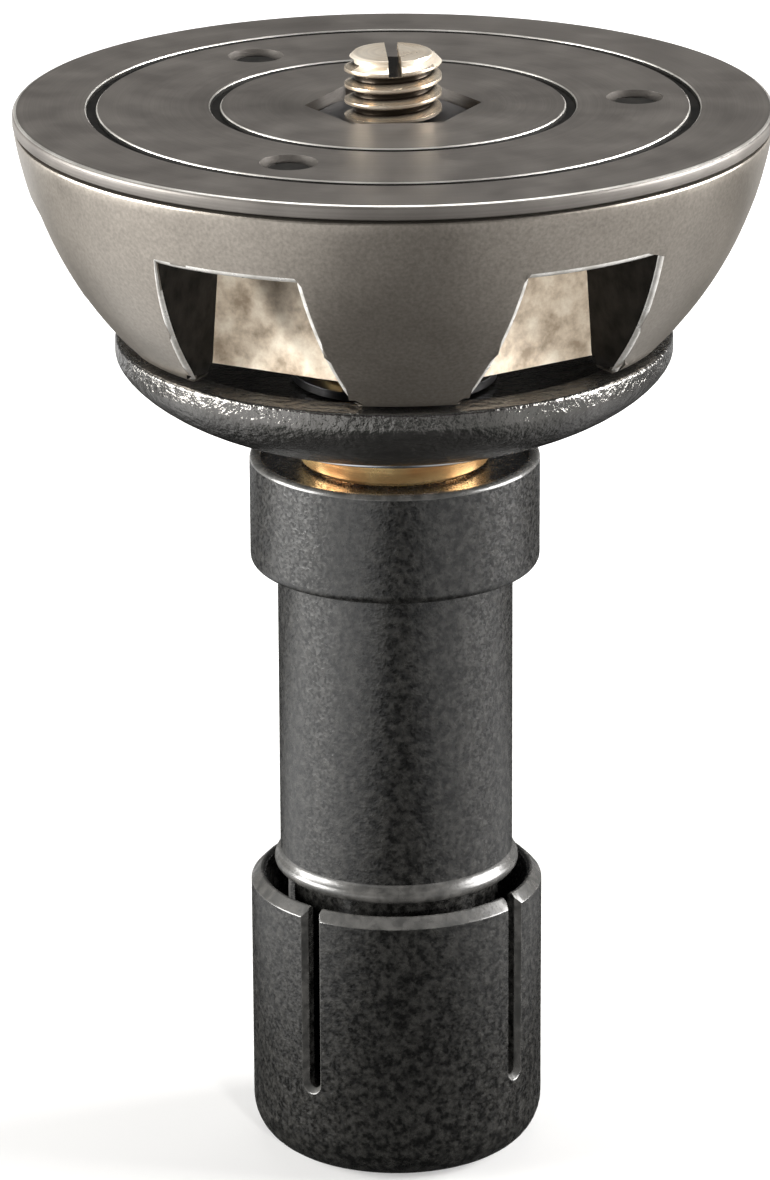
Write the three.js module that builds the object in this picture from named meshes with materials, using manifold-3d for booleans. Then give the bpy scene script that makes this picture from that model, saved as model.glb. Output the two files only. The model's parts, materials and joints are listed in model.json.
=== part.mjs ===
// Half ball adapter for a tripod with a 75 mm bowl.
//
// The half ball sits in the bowl from above and carries a video head on its
// threaded stud. A draw rod hangs from it, through the bowl's open bottom. The
// handle turns on that rod like a long nut and lifts the clamp dish against the
// underside of the bowl, which locks the ball.
//
// Millimetres, +Z up. The origin is the middle of the grip's flat foot. The
// front, where the azimuth is 0, faces -Y, and azimuths grow towards +X.

import * as THREE from 'three';
import { mergeVertices } from 'three/addons/utils/BufferGeometryUtils.js';
import Module from 'manifold-3d';

const wasm = await Module();
wasm.setup();

// Fits and cuts
const clearance = 0.3;
const overrun = 1;
const mergeTolerance = 1e-4;

// Half ball casting. The bowl's size sets the ball's, and the ball's sets the
// plate, the pockets and the dish.
const ballRadius = 37.5;
const centreRise = 3.7;
const ballDepthShare = 0.607;
const ballDepth = ballRadius * ballDepthShare;
const ballEndRadius = Math.sqrt(ballRadius ** 2 - (ballDepth + centreRise) ** 2);
const coreSetback = 1.3;
const coreDepth = ballDepth - coreSetback;
const fingertipWidth = 2.4;
const fingertipRadius = ballEndRadius - fingertipWidth;
const ballArcs = 8;

// Pockets between the casting's fingers
const pocketCount = 6;
const pocketAzimuth = 30;
const pocketCeiling = 8.25;
const pocketFloorShare = 0.592;
const pocketFloor = ballRadius * pocketFloorShare;
const pocketTopShare = 0.392;
const pocketTopWidth = ballRadius * pocketTopShare;
const pocketWaistShare = 0.4373;
const pocketWaistWidth = ballRadius * pocketWaistShare;
const pocketWaistRise = 3.2;
const pocketMouthShare = 0.48;
const pocketMouthWidth = ballRadius * pocketMouthShare;

// Draw rod's lock nut, which sets the hub's size, and the relief round the hub
const hubNutFlats = 16;
const hubNutHeight = 5;
const hubNutCorner = hubNutFlats / 2 / Math.cos(Math.PI / 6);
const hubRadius = hubNutCorner + clearance;
const hubDraft = 0.6;
const hubRootRadius = hubRadius + hubDraft;
const reliefRoof = 1;
const reliefDepth = pocketCeiling + reliefRoof;
const coreWall = 6;
const reliefTopRadius = pocketFloor - coreWall;
const coreLip = 4.4;
const reliefMouthRadius = pocketFloor - coreLip;

// Top plate
const plateInset = 0.3;
const plateRadius = ballRadius - plateInset;
const plateRim = 1.4;
const plateChamfer = 0.3;
const plateLedge = 4.2;
const spigotRadius = plateRadius - plateLedge;
const spigotDepth = 2.6;
const grooveShares = [0.4677, 0.793];
const grooveRadii = grooveShares.map((share) => plateRadius * share);
const grooveWidth = 1;
const grooveDepth = 0.5;

// Head stud, 3/8 inch with 16 threads to the inch
const inch = 25.4;
const studInches = 3 / 8;
const studRadius = studInches * inch / 2;
const studTurnsPerInch = 16;
const studPitch = inch / studTurnsPerInch;
const studRise = 5.2;
const studChamfer = 0.9;
const threadDepthShare = 0.6;
const threadCrestShare = 0.2;
const threadRootShare = 0.25;
const studHexFlats = 14.4;
const studHexSink = 1.1;
const studShankShare = 0.72;
const driverSlotWidth = 1.3;
const driverSlotDepth = 1.5;

// Set screws that lock the head, reached by a key through the pockets
const setScrewCount = 3;
const setScrewOffset = 1.6;
const setScrewCircle = pocketFloor + setScrewOffset;
const setScrewAzimuth = -27.5;
const setScrewRadius = 2.5;
const setScrewSink = 0.6;
const setScrewLength = pocketCeiling - 2 * setScrewSink;
const setScrewKeyFlats = 2.5;
const setScrewKeyDepth = 2.4;
const setScrewCupRadius = 1.5;
const setScrewCupDepth = 0.6;

// Screws that hold the plate to the casting, driven from the other pockets
const plateScrewCount = 3;
const plateScrewOffset = 4.8;
const plateScrewCircle = pocketFloor + plateScrewOffset;
const plateScrewRadius = 2;
const plateScrewBite = 1.7;
const plateScrewHeadRadius = 3.4;
const plateScrewHeadHeight = 2;
const plateScrewKeyFlats = 2.5;
const plateScrewKeyDepth = 1.1;
const plateScrewSink = 0.3;
const screwTipShare = 1 / 3;

// Draw rod, from which the bush, the handle and the grip take their sizes, and
// the bush's neck and flange round it
const rodRadius = 5;
const rodChamfer = 0.8;
const rodPitch = 1.5;
const rodTurns = 8;
const bushNeckWall = 3;
const bushNeckRadius = rodRadius + bushNeckWall;
const bushNeckLip = 0.9;
const bushFlangeWidth = 1.4;
const bushFlangeRadius = bushNeckRadius + bushFlangeWidth;
const bushFlangeHeight = 2.9;

// Handle tube, whose collar holds the bush's flange in a well
const wellGap = 4;
const wellDepth = 0.8;
const lipWidth = 1.1;
const collarRadius = bushFlangeRadius + wellGap + lipWidth;
const collarHeight = 11.3;
const edgeRound = 0.5;
const collarStep = 2.7;
const shaftRadius = collarRadius - collarStep;
const shaftLength = 30.8;
const beadStep = 0.6;
const beadRadius = shaftRadius + beadStep;
const beadHeight = 1.7;
const tailStep = 1.4;
const tailRadius = shaftRadius - tailStep;
const tubeWall = 2.2;
const tubeBore = tailRadius - tubeWall;

// Washers at the rod's two ends and the end stop
const hubWasherMargin = 1;
const hubWasherRadius = hubNutFlats / 2 + hubWasherMargin;
const hubWasherThickness = 1;
const stopWasherGap = 0.6;
const stopWasherRadius = tubeBore - stopWasherGap;
const stopWasherThickness = 1.2;
const stopScrewRadius = 2.5;
const stopScrewGrip = 8;
const stopHeadRadius = 4.2;
const stopHeadHeight = 3;
const stopKeyFlats = 4;
const stopKeyDepth = 1.8;

// Bush's sleeve, thrust washer and the ring that keeps the dish on the bush
const sleeveCover = 3.3;
const bushSleeveRadius = shaftRadius - sleeveCover;
const bushSleeveLength = 14.4;
const thrustWasherMargin = 4.6;
const thrustWasherRadius = bushFlangeRadius + thrustWasherMargin;
const thrustWasherThickness = 0.6;
const clipBite = 0.5;
const clipWidth = 2.2;
const clipRadius = bushNeckRadius + clipWidth;
const clipThickness = 0.9;
const clipOpening = 9;

// Clamp dish
const dishOverhang = 1.05;
const dishRadius = ballEndRadius + dishOverhang;
const dishRimHeight = 1.6;
const dishRimWidth = 3.6;
const dishSlope = 3.5;
const dishFloorRadius = dishRadius - dishRimWidth - dishSlope;
const dishFloorDepth = 4.9;
const dishHeight = 9;
const bossMargin = 0.4;
const bossRadius = thrustWasherRadius + bossMargin;
const dishCurveSteps = 7;
const dishCurvePower = 1.32;

// Grip at the lower end
const gripStep = 0.3;
const gripRadius = collarRadius + gripStep;
const gripHeight = 29;
const gripRimGap = 0.7;
const gripWall = 1.5;
const gripBore = gripRadius - gripWall;
const gripRimChamfer = 1;
const gripBoreChamfer = 0.3;
const gripFootRound = 3.8;
const gripFootRadius = gripRadius - gripFootRound;
const gripFootRise = 4.4;
const gripFootSteps = 5;
const gripSocketDepth = 3.4;
const gripFloor = 5.7;
const gripSlotCount = 4;
const gripSlotAzimuth = -39;
const gripSlotWidth = 1.4;
const gripSlotEnd = 9.5;
const gripSlotSteps = 4;
const insertLength = 8;
const gripScrewRadius = 2.5;
const gripScrewGrip = 9;
const gripHeadRadius = 4.2;
const gripHeadHeight = 2.4;
const gripHeadSink = 0.5;
const gripKeyFlats = 3;
const gripKeyDepth = 1.3;
const gripWasherRadius = 4.4;
const gripWasherThickness = 0.7;

// Smoothness of round shapes, in sides to the turn
const largeSides = 60;
const middleSides = 40;
const smallSides = 20;
const hexSides = 6;
const fullTurn = 2 * Math.PI;

// Heights above the grip's foot, from the bottom up
const beadZ = gripHeight + gripRimGap;
const shaftZ = beadZ + beadHeight;
const collarZ = shaftZ + shaftLength;
const handleTopZ = collarZ + collarHeight;
const bushZ = handleTopZ - wellDepth + clearance;
const thrustWasherZ = bushZ + bushFlangeHeight + clearance;
const bossZ = thrustWasherZ + thrustWasherThickness + clearance;
const dishTopZ = bossZ + dishHeight;
const dishFloorZ = dishTopZ - dishFloorDepth;
const clipZ = dishFloorZ + clearance;
const neckTopZ = clipZ + clipThickness + clearance + bushNeckLip;
const hubNutZ = neckTopZ + clearance;
const hubWasherZ = hubNutZ + hubNutHeight + clearance;
const hubZ = hubWasherZ + hubWasherThickness + clearance;
const plateZ = dishTopZ + clearance + ballDepth;
const castingTop = -plateRim - clearance;
const recessFloor = -plateRim - spigotDepth - clearance;
const hubLength = recessFloor - (hubZ - plateZ);
const studHexZ = recessFloor + clearance;
const studShankZ = studHexZ - hubLength * studShankShare;
const rodTopZ = plateZ + studShankZ - clearance;
const bushSleeveZ = bushZ - bushSleeveLength;
const rodTravel = rodPitch * rodTurns;
const stopWasherTopZ = bushSleeveZ - rodTravel - clearance;
const rodEndZ = stopWasherTopZ + clearance;
const tubeEndZ = gripFloor + clearance;
const insertZ = tubeEndZ + clearance;

const radians = (degrees) => THREE.MathUtils.degToRad(degrees);

// Geometry to solid and back

function toSolid(geometry) {
  const bare = geometry.index ? geometry.toNonIndexed() : geometry.clone();
  for (const name of Object.keys(bare.attributes)) {
    if (name !== 'position') bare.deleteAttribute(name);
  }
  const merged = mergeVertices(bare, mergeTolerance);
  const corners = merged.index.array;
  const kept = [];
  for (let i = 0; i < corners.length; i += 3) {
    const [a, b, c] = corners.slice(i, i + 3);
    if (a !== b && b !== c && c !== a) kept.push(a, b, c);
  }
  const vertProperties = new Float32Array(merged.attributes.position.array);
  const make = (list) => new wasm.Manifold(new wasm.Mesh({
    numProp: 3,
    vertProperties,
    triVerts: new Uint32Array(list),
  }));
  const solid = make(kept);
  return solid.volume() > 0 ? solid : make(kept.reverse());
}

function toGeometry(solid) {
  const mesh = solid.getMesh();
  const geometry = new THREE.BufferGeometry();
  geometry.setAttribute('position', new THREE.BufferAttribute(new Float32Array(mesh.vertProperties), 3));
  geometry.setIndex(new THREE.BufferAttribute(new Uint32Array(mesh.triVerts), 1));
  geometry.computeVertexNormals();
  return geometry;
}

const cut = (solid, ...cutters) => cutters.reduce((rest, cutter) => rest.subtract(cutter), solid);

// Basic forms, each with its axis along Z

// A profile of [radius, z] pairs, turned about the axis. It closes on itself
// unless it starts and ends on the axis.
function turned(profile, sides) {
  const points = profile.map(([radius, z]) => new THREE.Vector2(radius, z));
  if (profile[0][0] > 0) points.push(points[0].clone());
  return toSolid(new THREE.LatheGeometry(points, sides).rotateX(Math.PI / 2));
}

function rod(radius, low, high, sides, x = 0, y = 0) {
  const geometry = new THREE.CylinderGeometry(radius, radius, high - low, sides);
  return toSolid(geometry.rotateX(Math.PI / 2).translate(x, y, (low + high) / 2));
}

function ring(inner, outer, low, high, sides) {
  return turned([[inner, low], [outer, low], [outer, high], [inner, high]], sides);
}

// A hexagonal bar with two corners on the X axis
function hexBar(flats, low, high) {
  const corner = flats / 2 / Math.cos(Math.PI / hexSides);
  const geometry = new THREE.CylinderGeometry(corner, corner, high - low, hexSides);
  geometry.rotateX(Math.PI / 2).rotateZ(Math.PI / hexSides);
  return toSolid(geometry.translate(0, 0, (low + high) / 2));
}

function onCircle(radius, azimuth) {
  return [radius * Math.sin(radians(azimuth)), -radius * Math.cos(radians(azimuth))];
}

function azimuths(first, count) {
  return Array.from({ length: count }, (_, i) => first + (360 / count) * i);
}

const setScrewAzimuths = azimuths(setScrewAzimuth, setScrewCount);
const plateScrewAzimuths = azimuths(pocketAzimuth, plateScrewCount);

// A flat outline of [x, z] pairs, pushed out along the given azimuth from one
// distance to another
function pushedOut(outline, from, to, azimuth) {
  const shape = new THREE.Shape(outline.map(([x, z]) => new THREE.Vector2(x, z)));
  const geometry = new THREE.ExtrudeGeometry(shape, { depth: to - from, bevelEnabled: false });
  return toSolid(geometry.translate(0, 0, from).rotateX(Math.PI / 2).rotateZ(radians(azimuth)));
}

// The half ball, drawn from the plate's top face down

function pocketCutter(azimuth) {
  const mouth = -ballDepth;
  const waist = mouth + pocketWaistRise;
  const half = [
    [pocketTopWidth / 2, -pocketCeiling],
    [pocketWaistWidth / 2, waist],
    [pocketMouthWidth / 2, mouth],
    [pocketMouthWidth / 2, mouth - overrun],
  ];
  const mirrored = half.map(([x, z]) => [-x, z]).reverse();
  return pushedOut([...half, ...mirrored], pocketFloor, ballRadius + overrun, azimuth);
}

function ballOutline() {
  const low = -ballDepth;
  const sweep = (z) => Math.asin((z - centreRise) / ballRadius);
  const points = [];
  for (let i = 0; i <= ballArcs; i += 1) {
    const angle = THREE.MathUtils.lerp(sweep(low), sweep(castingTop), i / ballArcs);
    points.push([ballRadius * Math.cos(angle), centreRise + ballRadius * Math.sin(angle)]);
  }
  return points;
}

function castingSolid() {
  const bore = rodRadius + clearance;
  const hubEnd = recessFloor - hubLength;
  const blank = turned([
    [bore, hubEnd],
    [hubRadius, hubEnd],
    [hubRootRadius, -reliefDepth],
    [reliefTopRadius, -reliefDepth],
    [reliefMouthRadius, -coreDepth],
    [fingertipRadius, -coreDepth],
    [fingertipRadius, -ballDepth],
    ...ballOutline(),
    [spigotRadius + clearance, castingTop],
    [spigotRadius + clearance, recessFloor],
    [bore, recessFloor],
  ], largeSides);
  const pockets = azimuths(pocketAzimuth, pocketCount).map(pocketCutter);
  const setScrewHoles = setScrewAzimuths.map((azimuth) => rod(
    setScrewRadius + clearance,
    -pocketCeiling - overrun,
    recessFloor + overrun,
    smallSides,
    ...onCircle(setScrewCircle, azimuth),
  ));
  const counterbore = -pocketCeiling + plateScrewSink + plateScrewHeadHeight + clearance;
  const plateScrewHoles = plateScrewAzimuths.flatMap((azimuth) => {
    const place = onCircle(plateScrewCircle, azimuth);
    const low = -pocketCeiling - overrun;
    return [
      rod(plateScrewHeadRadius + clearance, low, counterbore, smallSides, ...place),
      rod(plateScrewRadius + clearance, low, recessFloor + overrun, smallSides, ...place),
    ];
  });
  return cut(blank, ...pockets, ...setScrewHoles, ...plateScrewHoles);
}

function plateSolid() {
  const bottom = -plateRim - spigotDepth;
  const groove = (radius) => [
    [radius + grooveWidth / 2, 0],
    [radius + grooveWidth / 2, -grooveDepth],
    [radius - grooveWidth / 2, -grooveDepth],
    [radius - grooveWidth / 2, 0],
  ];
  const outerFirst = [...grooveRadii].sort((a, b) => b - a);
  const blank = turned([
    [0, bottom],
    [spigotRadius, bottom],
    [spigotRadius, -plateRim],
    [plateRadius, -plateRim],
    [plateRadius, -plateChamfer],
    [plateRadius - plateChamfer, 0],
    ...outerFirst.flatMap(groove),
    [0, 0],
  ], largeSides);
  const hexHole = hexBar(studHexFlats + 2 * clearance, bottom - overrun, overrun);
  const setScrewHoles = setScrewAzimuths.map((azimuth) => rod(
    setScrewRadius + clearance,
    bottom - overrun,
    overrun,
    smallSides,
    ...onCircle(setScrewCircle, azimuth),
  ));
  const screwHoles = plateScrewAzimuths.map((azimuth) => rod(
    plateScrewRadius + clearance,
    bottom - overrun,
    plateScrewTipZ() + clearance,
    smallSides,
    ...onCircle(plateScrewCircle, azimuth),
  ));
  return cut(blank, hexHole, ...setScrewHoles, ...screwHoles);
}

// The screw's head sits in the pocket's ceiling and its tip in the plate
function plateScrewHeadZ() {
  return -pocketCeiling + plateScrewSink;
}

function plateScrewTipZ() {
  return -plateRim - spigotDepth + plateScrewBite;
}

// One tooth wound round the axis as a closed ribbon, its root sunk into the core
function threadRibbon(major, minor, pitch, low, high) {
  const stepsPerTurn = smallSides;
  const steps = Math.ceil(((high - low) / pitch) * stepsPerTurn);
  const crest = pitch * threadCrestShare;
  const foot = pitch * (1 - threadRootShare);
  const sunk = minor - (major - minor) / 2;
  const section = [[sunk, -foot / 2], [minor, -foot / 2], [major, -crest / 2], [major, crest / 2],
    [minor, foot / 2], [sunk, foot / 2]];
  const positions = [];
  for (let i = 0; i <= steps; i += 1) {
    const angle = (fullTurn * i) / stepsPerTurn;
    for (const [radius, rise] of section) {
      const z = low + (pitch * i) / stepsPerTurn + rise;
      positions.push(radius * Math.cos(angle), radius * Math.sin(angle), z);
    }
  }
  const count = section.length;
  const faces = [];
  for (let i = 0; i < steps; i += 1) {
    for (let k = 0; k < count; k += 1) {
      const a = i * count + k;
      const b = i * count + ((k + 1) % count);
      faces.push(a, a + count, b, b, a + count, b + count);
    }
  }
  for (let k = 1; k < count - 1; k += 1) {
    const last = steps * count;
    faces.push(0, k, k + 1, last, last + k + 1, last + k);
  }
  const geometry = new THREE.BufferGeometry();
  geometry.setAttribute('position', new THREE.Float32BufferAttribute(positions, 3));
  geometry.setIndex(faces);
  return toSolid(geometry);
}

function studSolid() {
  const hexTop = -studHexSink;
  const minor = studRadius - studPitch * threadDepthShare;
  const shank = rod(rodRadius, studShankZ, studHexZ + overrun, smallSides);
  const hex = hexBar(studHexFlats, studHexZ, hexTop);
  const core = rod(minor, hexTop - overrun, studRise, smallSides);
  const ribbon = threadRibbon(studRadius, minor, studPitch, hexTop - studPitch, studRise + studPitch);
  const envelope = turned([
    [0, hexTop - overrun],
    [studRadius + overrun, hexTop - overrun],
    [studRadius + overrun, studRise - studChamfer - overrun],
    [studRadius - studChamfer, studRise],
    [0, studRise],
  ], smallSides);
  const thread = core.add(ribbon).intersect(envelope);
  const slot = toSolid(new THREE.BoxGeometry(driverSlotWidth, 2 * (studRadius + overrun), 2 * driverSlotDepth)
    .translate(0, 0, studRise));
  return cut(shank.add(hex).add(thread), slot);
}

function setScrewSolid() {
  const top = setScrewLength;
  const blank = turned([
    [0, 0],
    [setScrewRadius, 0],
    [setScrewRadius, top - clearance],
    [setScrewRadius - clearance, top],
    [setScrewCupRadius, top],
    [0, top - setScrewCupDepth],
  ], smallSides);
  return cut(blank, hexBar(setScrewKeyFlats, -overrun, setScrewKeyDepth));
}

// A socket-head screw that points up, with the underside of its head at zero
function socketScrew(shank, grip, head, headHeight, keyFlats, keyDepth) {
  const blank = turned([
    [0, -headHeight],
    [head, -headHeight],
    [head, 0],
    [shank, 0],
    [shank, grip - shank * screwTipShare],
    [shank * (1 - screwTipShare), grip],
    [0, grip],
  ], smallSides);
  return cut(blank, hexBar(keyFlats, -headHeight - overrun, keyDepth - headHeight));
}

// The draw rod and its fittings

function rodSolid() {
  const blank = turned([
    [0, rodEndZ],
    [rodRadius - rodChamfer, rodEndZ],
    [rodRadius, rodEndZ + rodChamfer],
    [rodRadius, rodTopZ - rodChamfer],
    [rodRadius - rodChamfer, rodTopZ],
    [0, rodTopZ],
  ], smallSides);
  const hole = rod(stopScrewRadius + clearance, rodEndZ - overrun, stopScrewTipZ() + clearance, smallSides);
  return cut(blank, hole);
}

function stopHeadZ() {
  return stopWasherTopZ - stopWasherThickness - clearance;
}

function stopScrewTipZ() {
  return stopHeadZ() + stopScrewGrip;
}

function hubNutSolid() {
  return cut(
    hexBar(hubNutFlats, 0, hubNutHeight),
    rod(rodRadius + clearance, -overrun, hubNutHeight + overrun, smallSides),
  );
}

// The clamp dish, drawn from its boss's underside up

function dishSolid() {
  const bore = bushNeckRadius + clearance;
  const rim = dishHeight - dishRimHeight;
  const curve = [];
  for (let i = 0; i <= dishCurveSteps; i += 1) {
    const angle = (Math.PI / 2) * (i / dishCurveSteps);
    curve.push([
      bossRadius + (dishRadius - bossRadius) * Math.sin(angle) ** dishCurvePower,
      rim * (1 - Math.abs(Math.cos(angle)) ** dishCurvePower),
    ]);
  }
  return turned([
    [bore, 0],
    ...curve,
    [dishRadius, dishHeight],
    [dishRadius - dishRimWidth, dishHeight],
    [dishFloorRadius, dishHeight - dishFloorDepth],
    [bore, dishHeight - dishFloorDepth],
  ], largeSides);
}

// The bush, drawn with the underside of its flange at zero
function bushSolid() {
  const bore = rodRadius + clearance;
  const neckTop = neckTopZ - bushZ;
  const grooveLow = clipZ - clearance - bushZ;
  const grooveHigh = clipZ + clipThickness + clearance - bushZ;
  const grooveRadius = bushNeckRadius - clipBite - clearance;
  return turned([
    [bore, -bushSleeveLength],
    [bushSleeveRadius, -bushSleeveLength],
    [bushSleeveRadius, 0],
    [bushFlangeRadius, 0],
    [bushFlangeRadius, bushFlangeHeight],
    [bushNeckRadius, bushFlangeHeight],
    [bushNeckRadius, grooveLow],
    [grooveRadius, grooveLow],
    [grooveRadius, grooveHigh],
    [bushNeckRadius, grooveHigh],
    [bushNeckRadius, neckTop],
    [bore, neckTop],
  ], middleSides);
}

function clipSolid() {
  const whole = ring(bushNeckRadius - clipBite, clipRadius, 0, clipThickness, middleSides);
  const mouth = new THREE.BoxGeometry(clipOpening, 2 * clipRadius, 2 * (clipThickness + overrun));
  return cut(whole, toSolid(mouth.translate(0, clipRadius, 0)));
}

// The handle, drawn from the foot of the grip up

function tubeSolid() {
  const wellZ = handleTopZ - wellDepth;
  const wellRadius = collarRadius - lipWidth;
  const shelf = bushSleeveZ - clearance;
  return turned([
    [tubeBore, tubeEndZ],
    [tailRadius, tubeEndZ],
    [tailRadius, beadZ - clearance],
    [beadRadius - edgeRound, beadZ],
    [beadRadius, beadZ + edgeRound],
    [beadRadius, shaftZ - edgeRound],
    [shaftRadius, shaftZ],
    [shaftRadius, collarZ],
    [collarRadius - edgeRound, collarZ],
    [collarRadius, collarZ + edgeRound],
    [collarRadius, handleTopZ - edgeRound],
    [collarRadius - edgeRound, handleTopZ],
    [wellRadius, handleTopZ],
    [wellRadius, wellZ],
    [bushSleeveRadius + clearance, wellZ],
    [bushSleeveRadius + clearance, shelf],
    [tubeBore, shelf],
  ], middleSides);
}

function gripSlotCutter(azimuth) {
  const half = gripSlotWidth / 2;
  const end = [];
  for (let i = 0; i <= gripSlotSteps; i += 1) {
    const angle = Math.PI + (Math.PI * i) / gripSlotSteps;
    end.push([half * Math.cos(angle), gripSlotEnd + half + half * Math.sin(angle)]);
  }
  const top = gripHeight + overrun;
  const inner = (tailRadius + gripBore) / 2;
  return pushedOut([[half, top], [-half, top], ...end], inner, gripRadius + overrun, azimuth);
}

function gripSolid() {
  const footCurve = [];
  for (let i = 0; i <= gripFootSteps; i += 1) {
    const angle = (Math.PI / 2) * (i / gripFootSteps);
    footCurve.push([
      gripFootRadius + (gripRadius - gripFootRadius) * Math.sin(angle),
      gripFootRise * (1 - Math.cos(angle)),
    ]);
  }
  const headRoom = gripHeadCeilingZ();
  const screwHole = gripScrewRadius + clearance;
  const headHole = gripWasherRadius + clearance;
  const socket = tailRadius + clearance;
  const blank = turned([
    [screwHole, headRoom],
    [headHole, headRoom],
    [headHole, 0],
    ...footCurve,
    [gripRadius, gripHeight - gripRimChamfer],
    [gripRadius - gripRimChamfer, gripHeight],
    [gripBore + gripBoreChamfer, gripHeight],
    [gripBore, gripHeight - gripBoreChamfer],
    [gripBore, gripFloor + gripSocketDepth],
    [socket, gripFloor + gripSocketDepth],
    [socket, gripFloor],
    [screwHole, gripFloor],
  ], middleSides);
  return cut(blank, ...azimuths(gripSlotAzimuth, gripSlotCount).map(gripSlotCutter));
}

// From the foot up: the screw's head, its washer, then the grip's floor
function gripHeadTopZ() {
  return gripHeadSink + gripHeadHeight;
}

function gripHeadCeilingZ() {
  return gripHeadTopZ() + clearance + gripWasherThickness + clearance;
}

// Finishes

function finish(color, roughness, metalness) {
  return new THREE.MeshStandardMaterial({ color, roughness, metalness });
}

const ballPaint = () => finish(0xa8a198, 0.45, 0.55);
const platePaint = () => finish(0x5f5b57, 0.5, 0.45);
const studSteel = () => finish(0xc9a884, 0.3, 0.9);
const darkSteel = () => finish(0x4a4846, 0.4, 0.8);
const plainSteel = () => finish(0xb9bcbf, 0.3, 0.9);
const dishPaint = () => finish(0x55534f, 0.45, 0.6);
const brass = () => finish(0xc9963c, 0.3, 0.9);
const blackPlastic = () => finish(0x2b2b2a, 0.6, 0);

// Assembly

function piece(name, solid, material, x = 0, y = 0, z = 0) {
  const mesh = new THREE.Mesh(toGeometry(solid), material);
  mesh.name = name;
  mesh.position.set(x, y, z);
  return mesh;
}

function halfBallGroup() {
  const group = new THREE.Group();
  group.position.z = plateZ;
  group.add(piece('half_ball_casting', castingSolid(), ballPaint()));
  group.add(piece('top_plate', plateSolid(), platePaint()));
  group.add(piece('head_stud', studSolid(), studSteel()));
  setScrewAzimuths.forEach((azimuth, i) => {
    const [x, y] = onCircle(setScrewCircle, azimuth);
    const z = -setScrewSink - setScrewLength;
    group.add(piece(`set_screw_${i + 1}`, setScrewSolid(), plainSteel(), x, y, z));
  });
  plateScrewAzimuths.forEach((azimuth, i) => {
    const [x, y] = onCircle(plateScrewCircle, azimuth);
    const z = plateScrewHeadZ() + plateScrewHeadHeight;
    const solid = socketScrew(plateScrewRadius, plateScrewTipZ() - z, plateScrewHeadRadius,
      plateScrewHeadHeight, plateScrewKeyFlats, plateScrewKeyDepth);
    group.add(piece(`plate_screw_${i + 1}`, solid, darkSteel(), x, y, z));
  });
  return group;
}

function drawRodGroup() {
  const group = new THREE.Group();
  const bore = rodRadius + clearance;
  const hubWasher = ring(bore, hubWasherRadius, 0, hubWasherThickness, middleSides);
  const stopWasher = ring(stopScrewRadius + clearance, stopWasherRadius, 0, stopWasherThickness, smallSides);
  const stopScrew = socketScrew(stopScrewRadius, stopScrewGrip, stopHeadRadius, stopHeadHeight,
    stopKeyFlats, stopKeyDepth);
  group.add(piece('draw_rod', rodSolid(), plainSteel()));
  group.add(piece('hub_washer', hubWasher, plainSteel(), 0, 0, hubWasherZ));
  group.add(piece('hub_lock_nut', hubNutSolid(), darkSteel(), 0, 0, hubNutZ));
  group.add(piece('stop_washer', stopWasher, plainSteel(), 0, 0, stopWasherTopZ - stopWasherThickness));
  group.add(piece('stop_screw', stopScrew, darkSteel(), 0, 0, stopHeadZ()));
  return group;
}

function dishGroup() {
  const group = new THREE.Group();
  group.position.z = bossZ;
  const washer = ring(bushNeckRadius + clearance, thrustWasherRadius, 0, thrustWasherThickness, middleSides);
  group.add(piece('clamp_dish', dishSolid(), dishPaint()));
  group.add(piece('thrust_washer', washer, plainSteel(), 0, 0, thrustWasherZ - bossZ));
  return group;
}

function handleGroup() {
  const group = new THREE.Group();
  const screwHole = gripScrewRadius + clearance;
  const insert = ring(screwHole, tubeBore - clearance, 0, insertLength, middleSides);
  const washer = ring(screwHole, gripWasherRadius, 0, gripWasherThickness, smallSides);
  const screw = socketScrew(gripScrewRadius, gripScrewGrip, gripHeadRadius, gripHeadHeight,
    gripKeyFlats, gripKeyDepth);
  group.add(piece('brass_bush', bushSolid(), brass(), 0, 0, bushZ));
  group.add(piece('dish_circlip', clipSolid(), darkSteel(), 0, 0, clipZ));
  group.add(piece('handle_tube', tubeSolid(), blackPlastic()));
  group.add(piece('grip', gripSolid(), blackPlastic()));
  group.add(piece('grip_insert', insert, brass(), 0, 0, insertZ));
  group.add(piece('grip_washer', washer, plainSteel(), 0, 0, gripHeadTopZ() + clearance));
  group.add(piece('grip_screw', screw, darkSteel(), 0, 0, gripHeadTopZ()));
  return group;
}

const halfBallAdapter = new THREE.Group();
halfBallAdapter.add(halfBallGroup(), drawRodGroup(), dishGroup(), handleGroup());

export default halfBallAdapter;
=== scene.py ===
# %% [markdown]
# # A tripod half ball adapter
#
# The object is a half ball that sits in the bowl of a video tripod. A head is
# screwed on its stud, and the long handle under it pulls a clamp dish up
# against the bowl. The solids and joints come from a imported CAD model, the
# "frame". This lesson dresses that frame: every piece that shows gets its true
# roundings, threads and finish, and the hidden ones keep their CAD solid.
#
# Blender works in metres here, and drawings of small hardware are in
# millimetres, so one short value, `MM`, turns one into the other.

import json
import math

import bmesh
import bpy
from mathutils import Matrix, Vector


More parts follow.
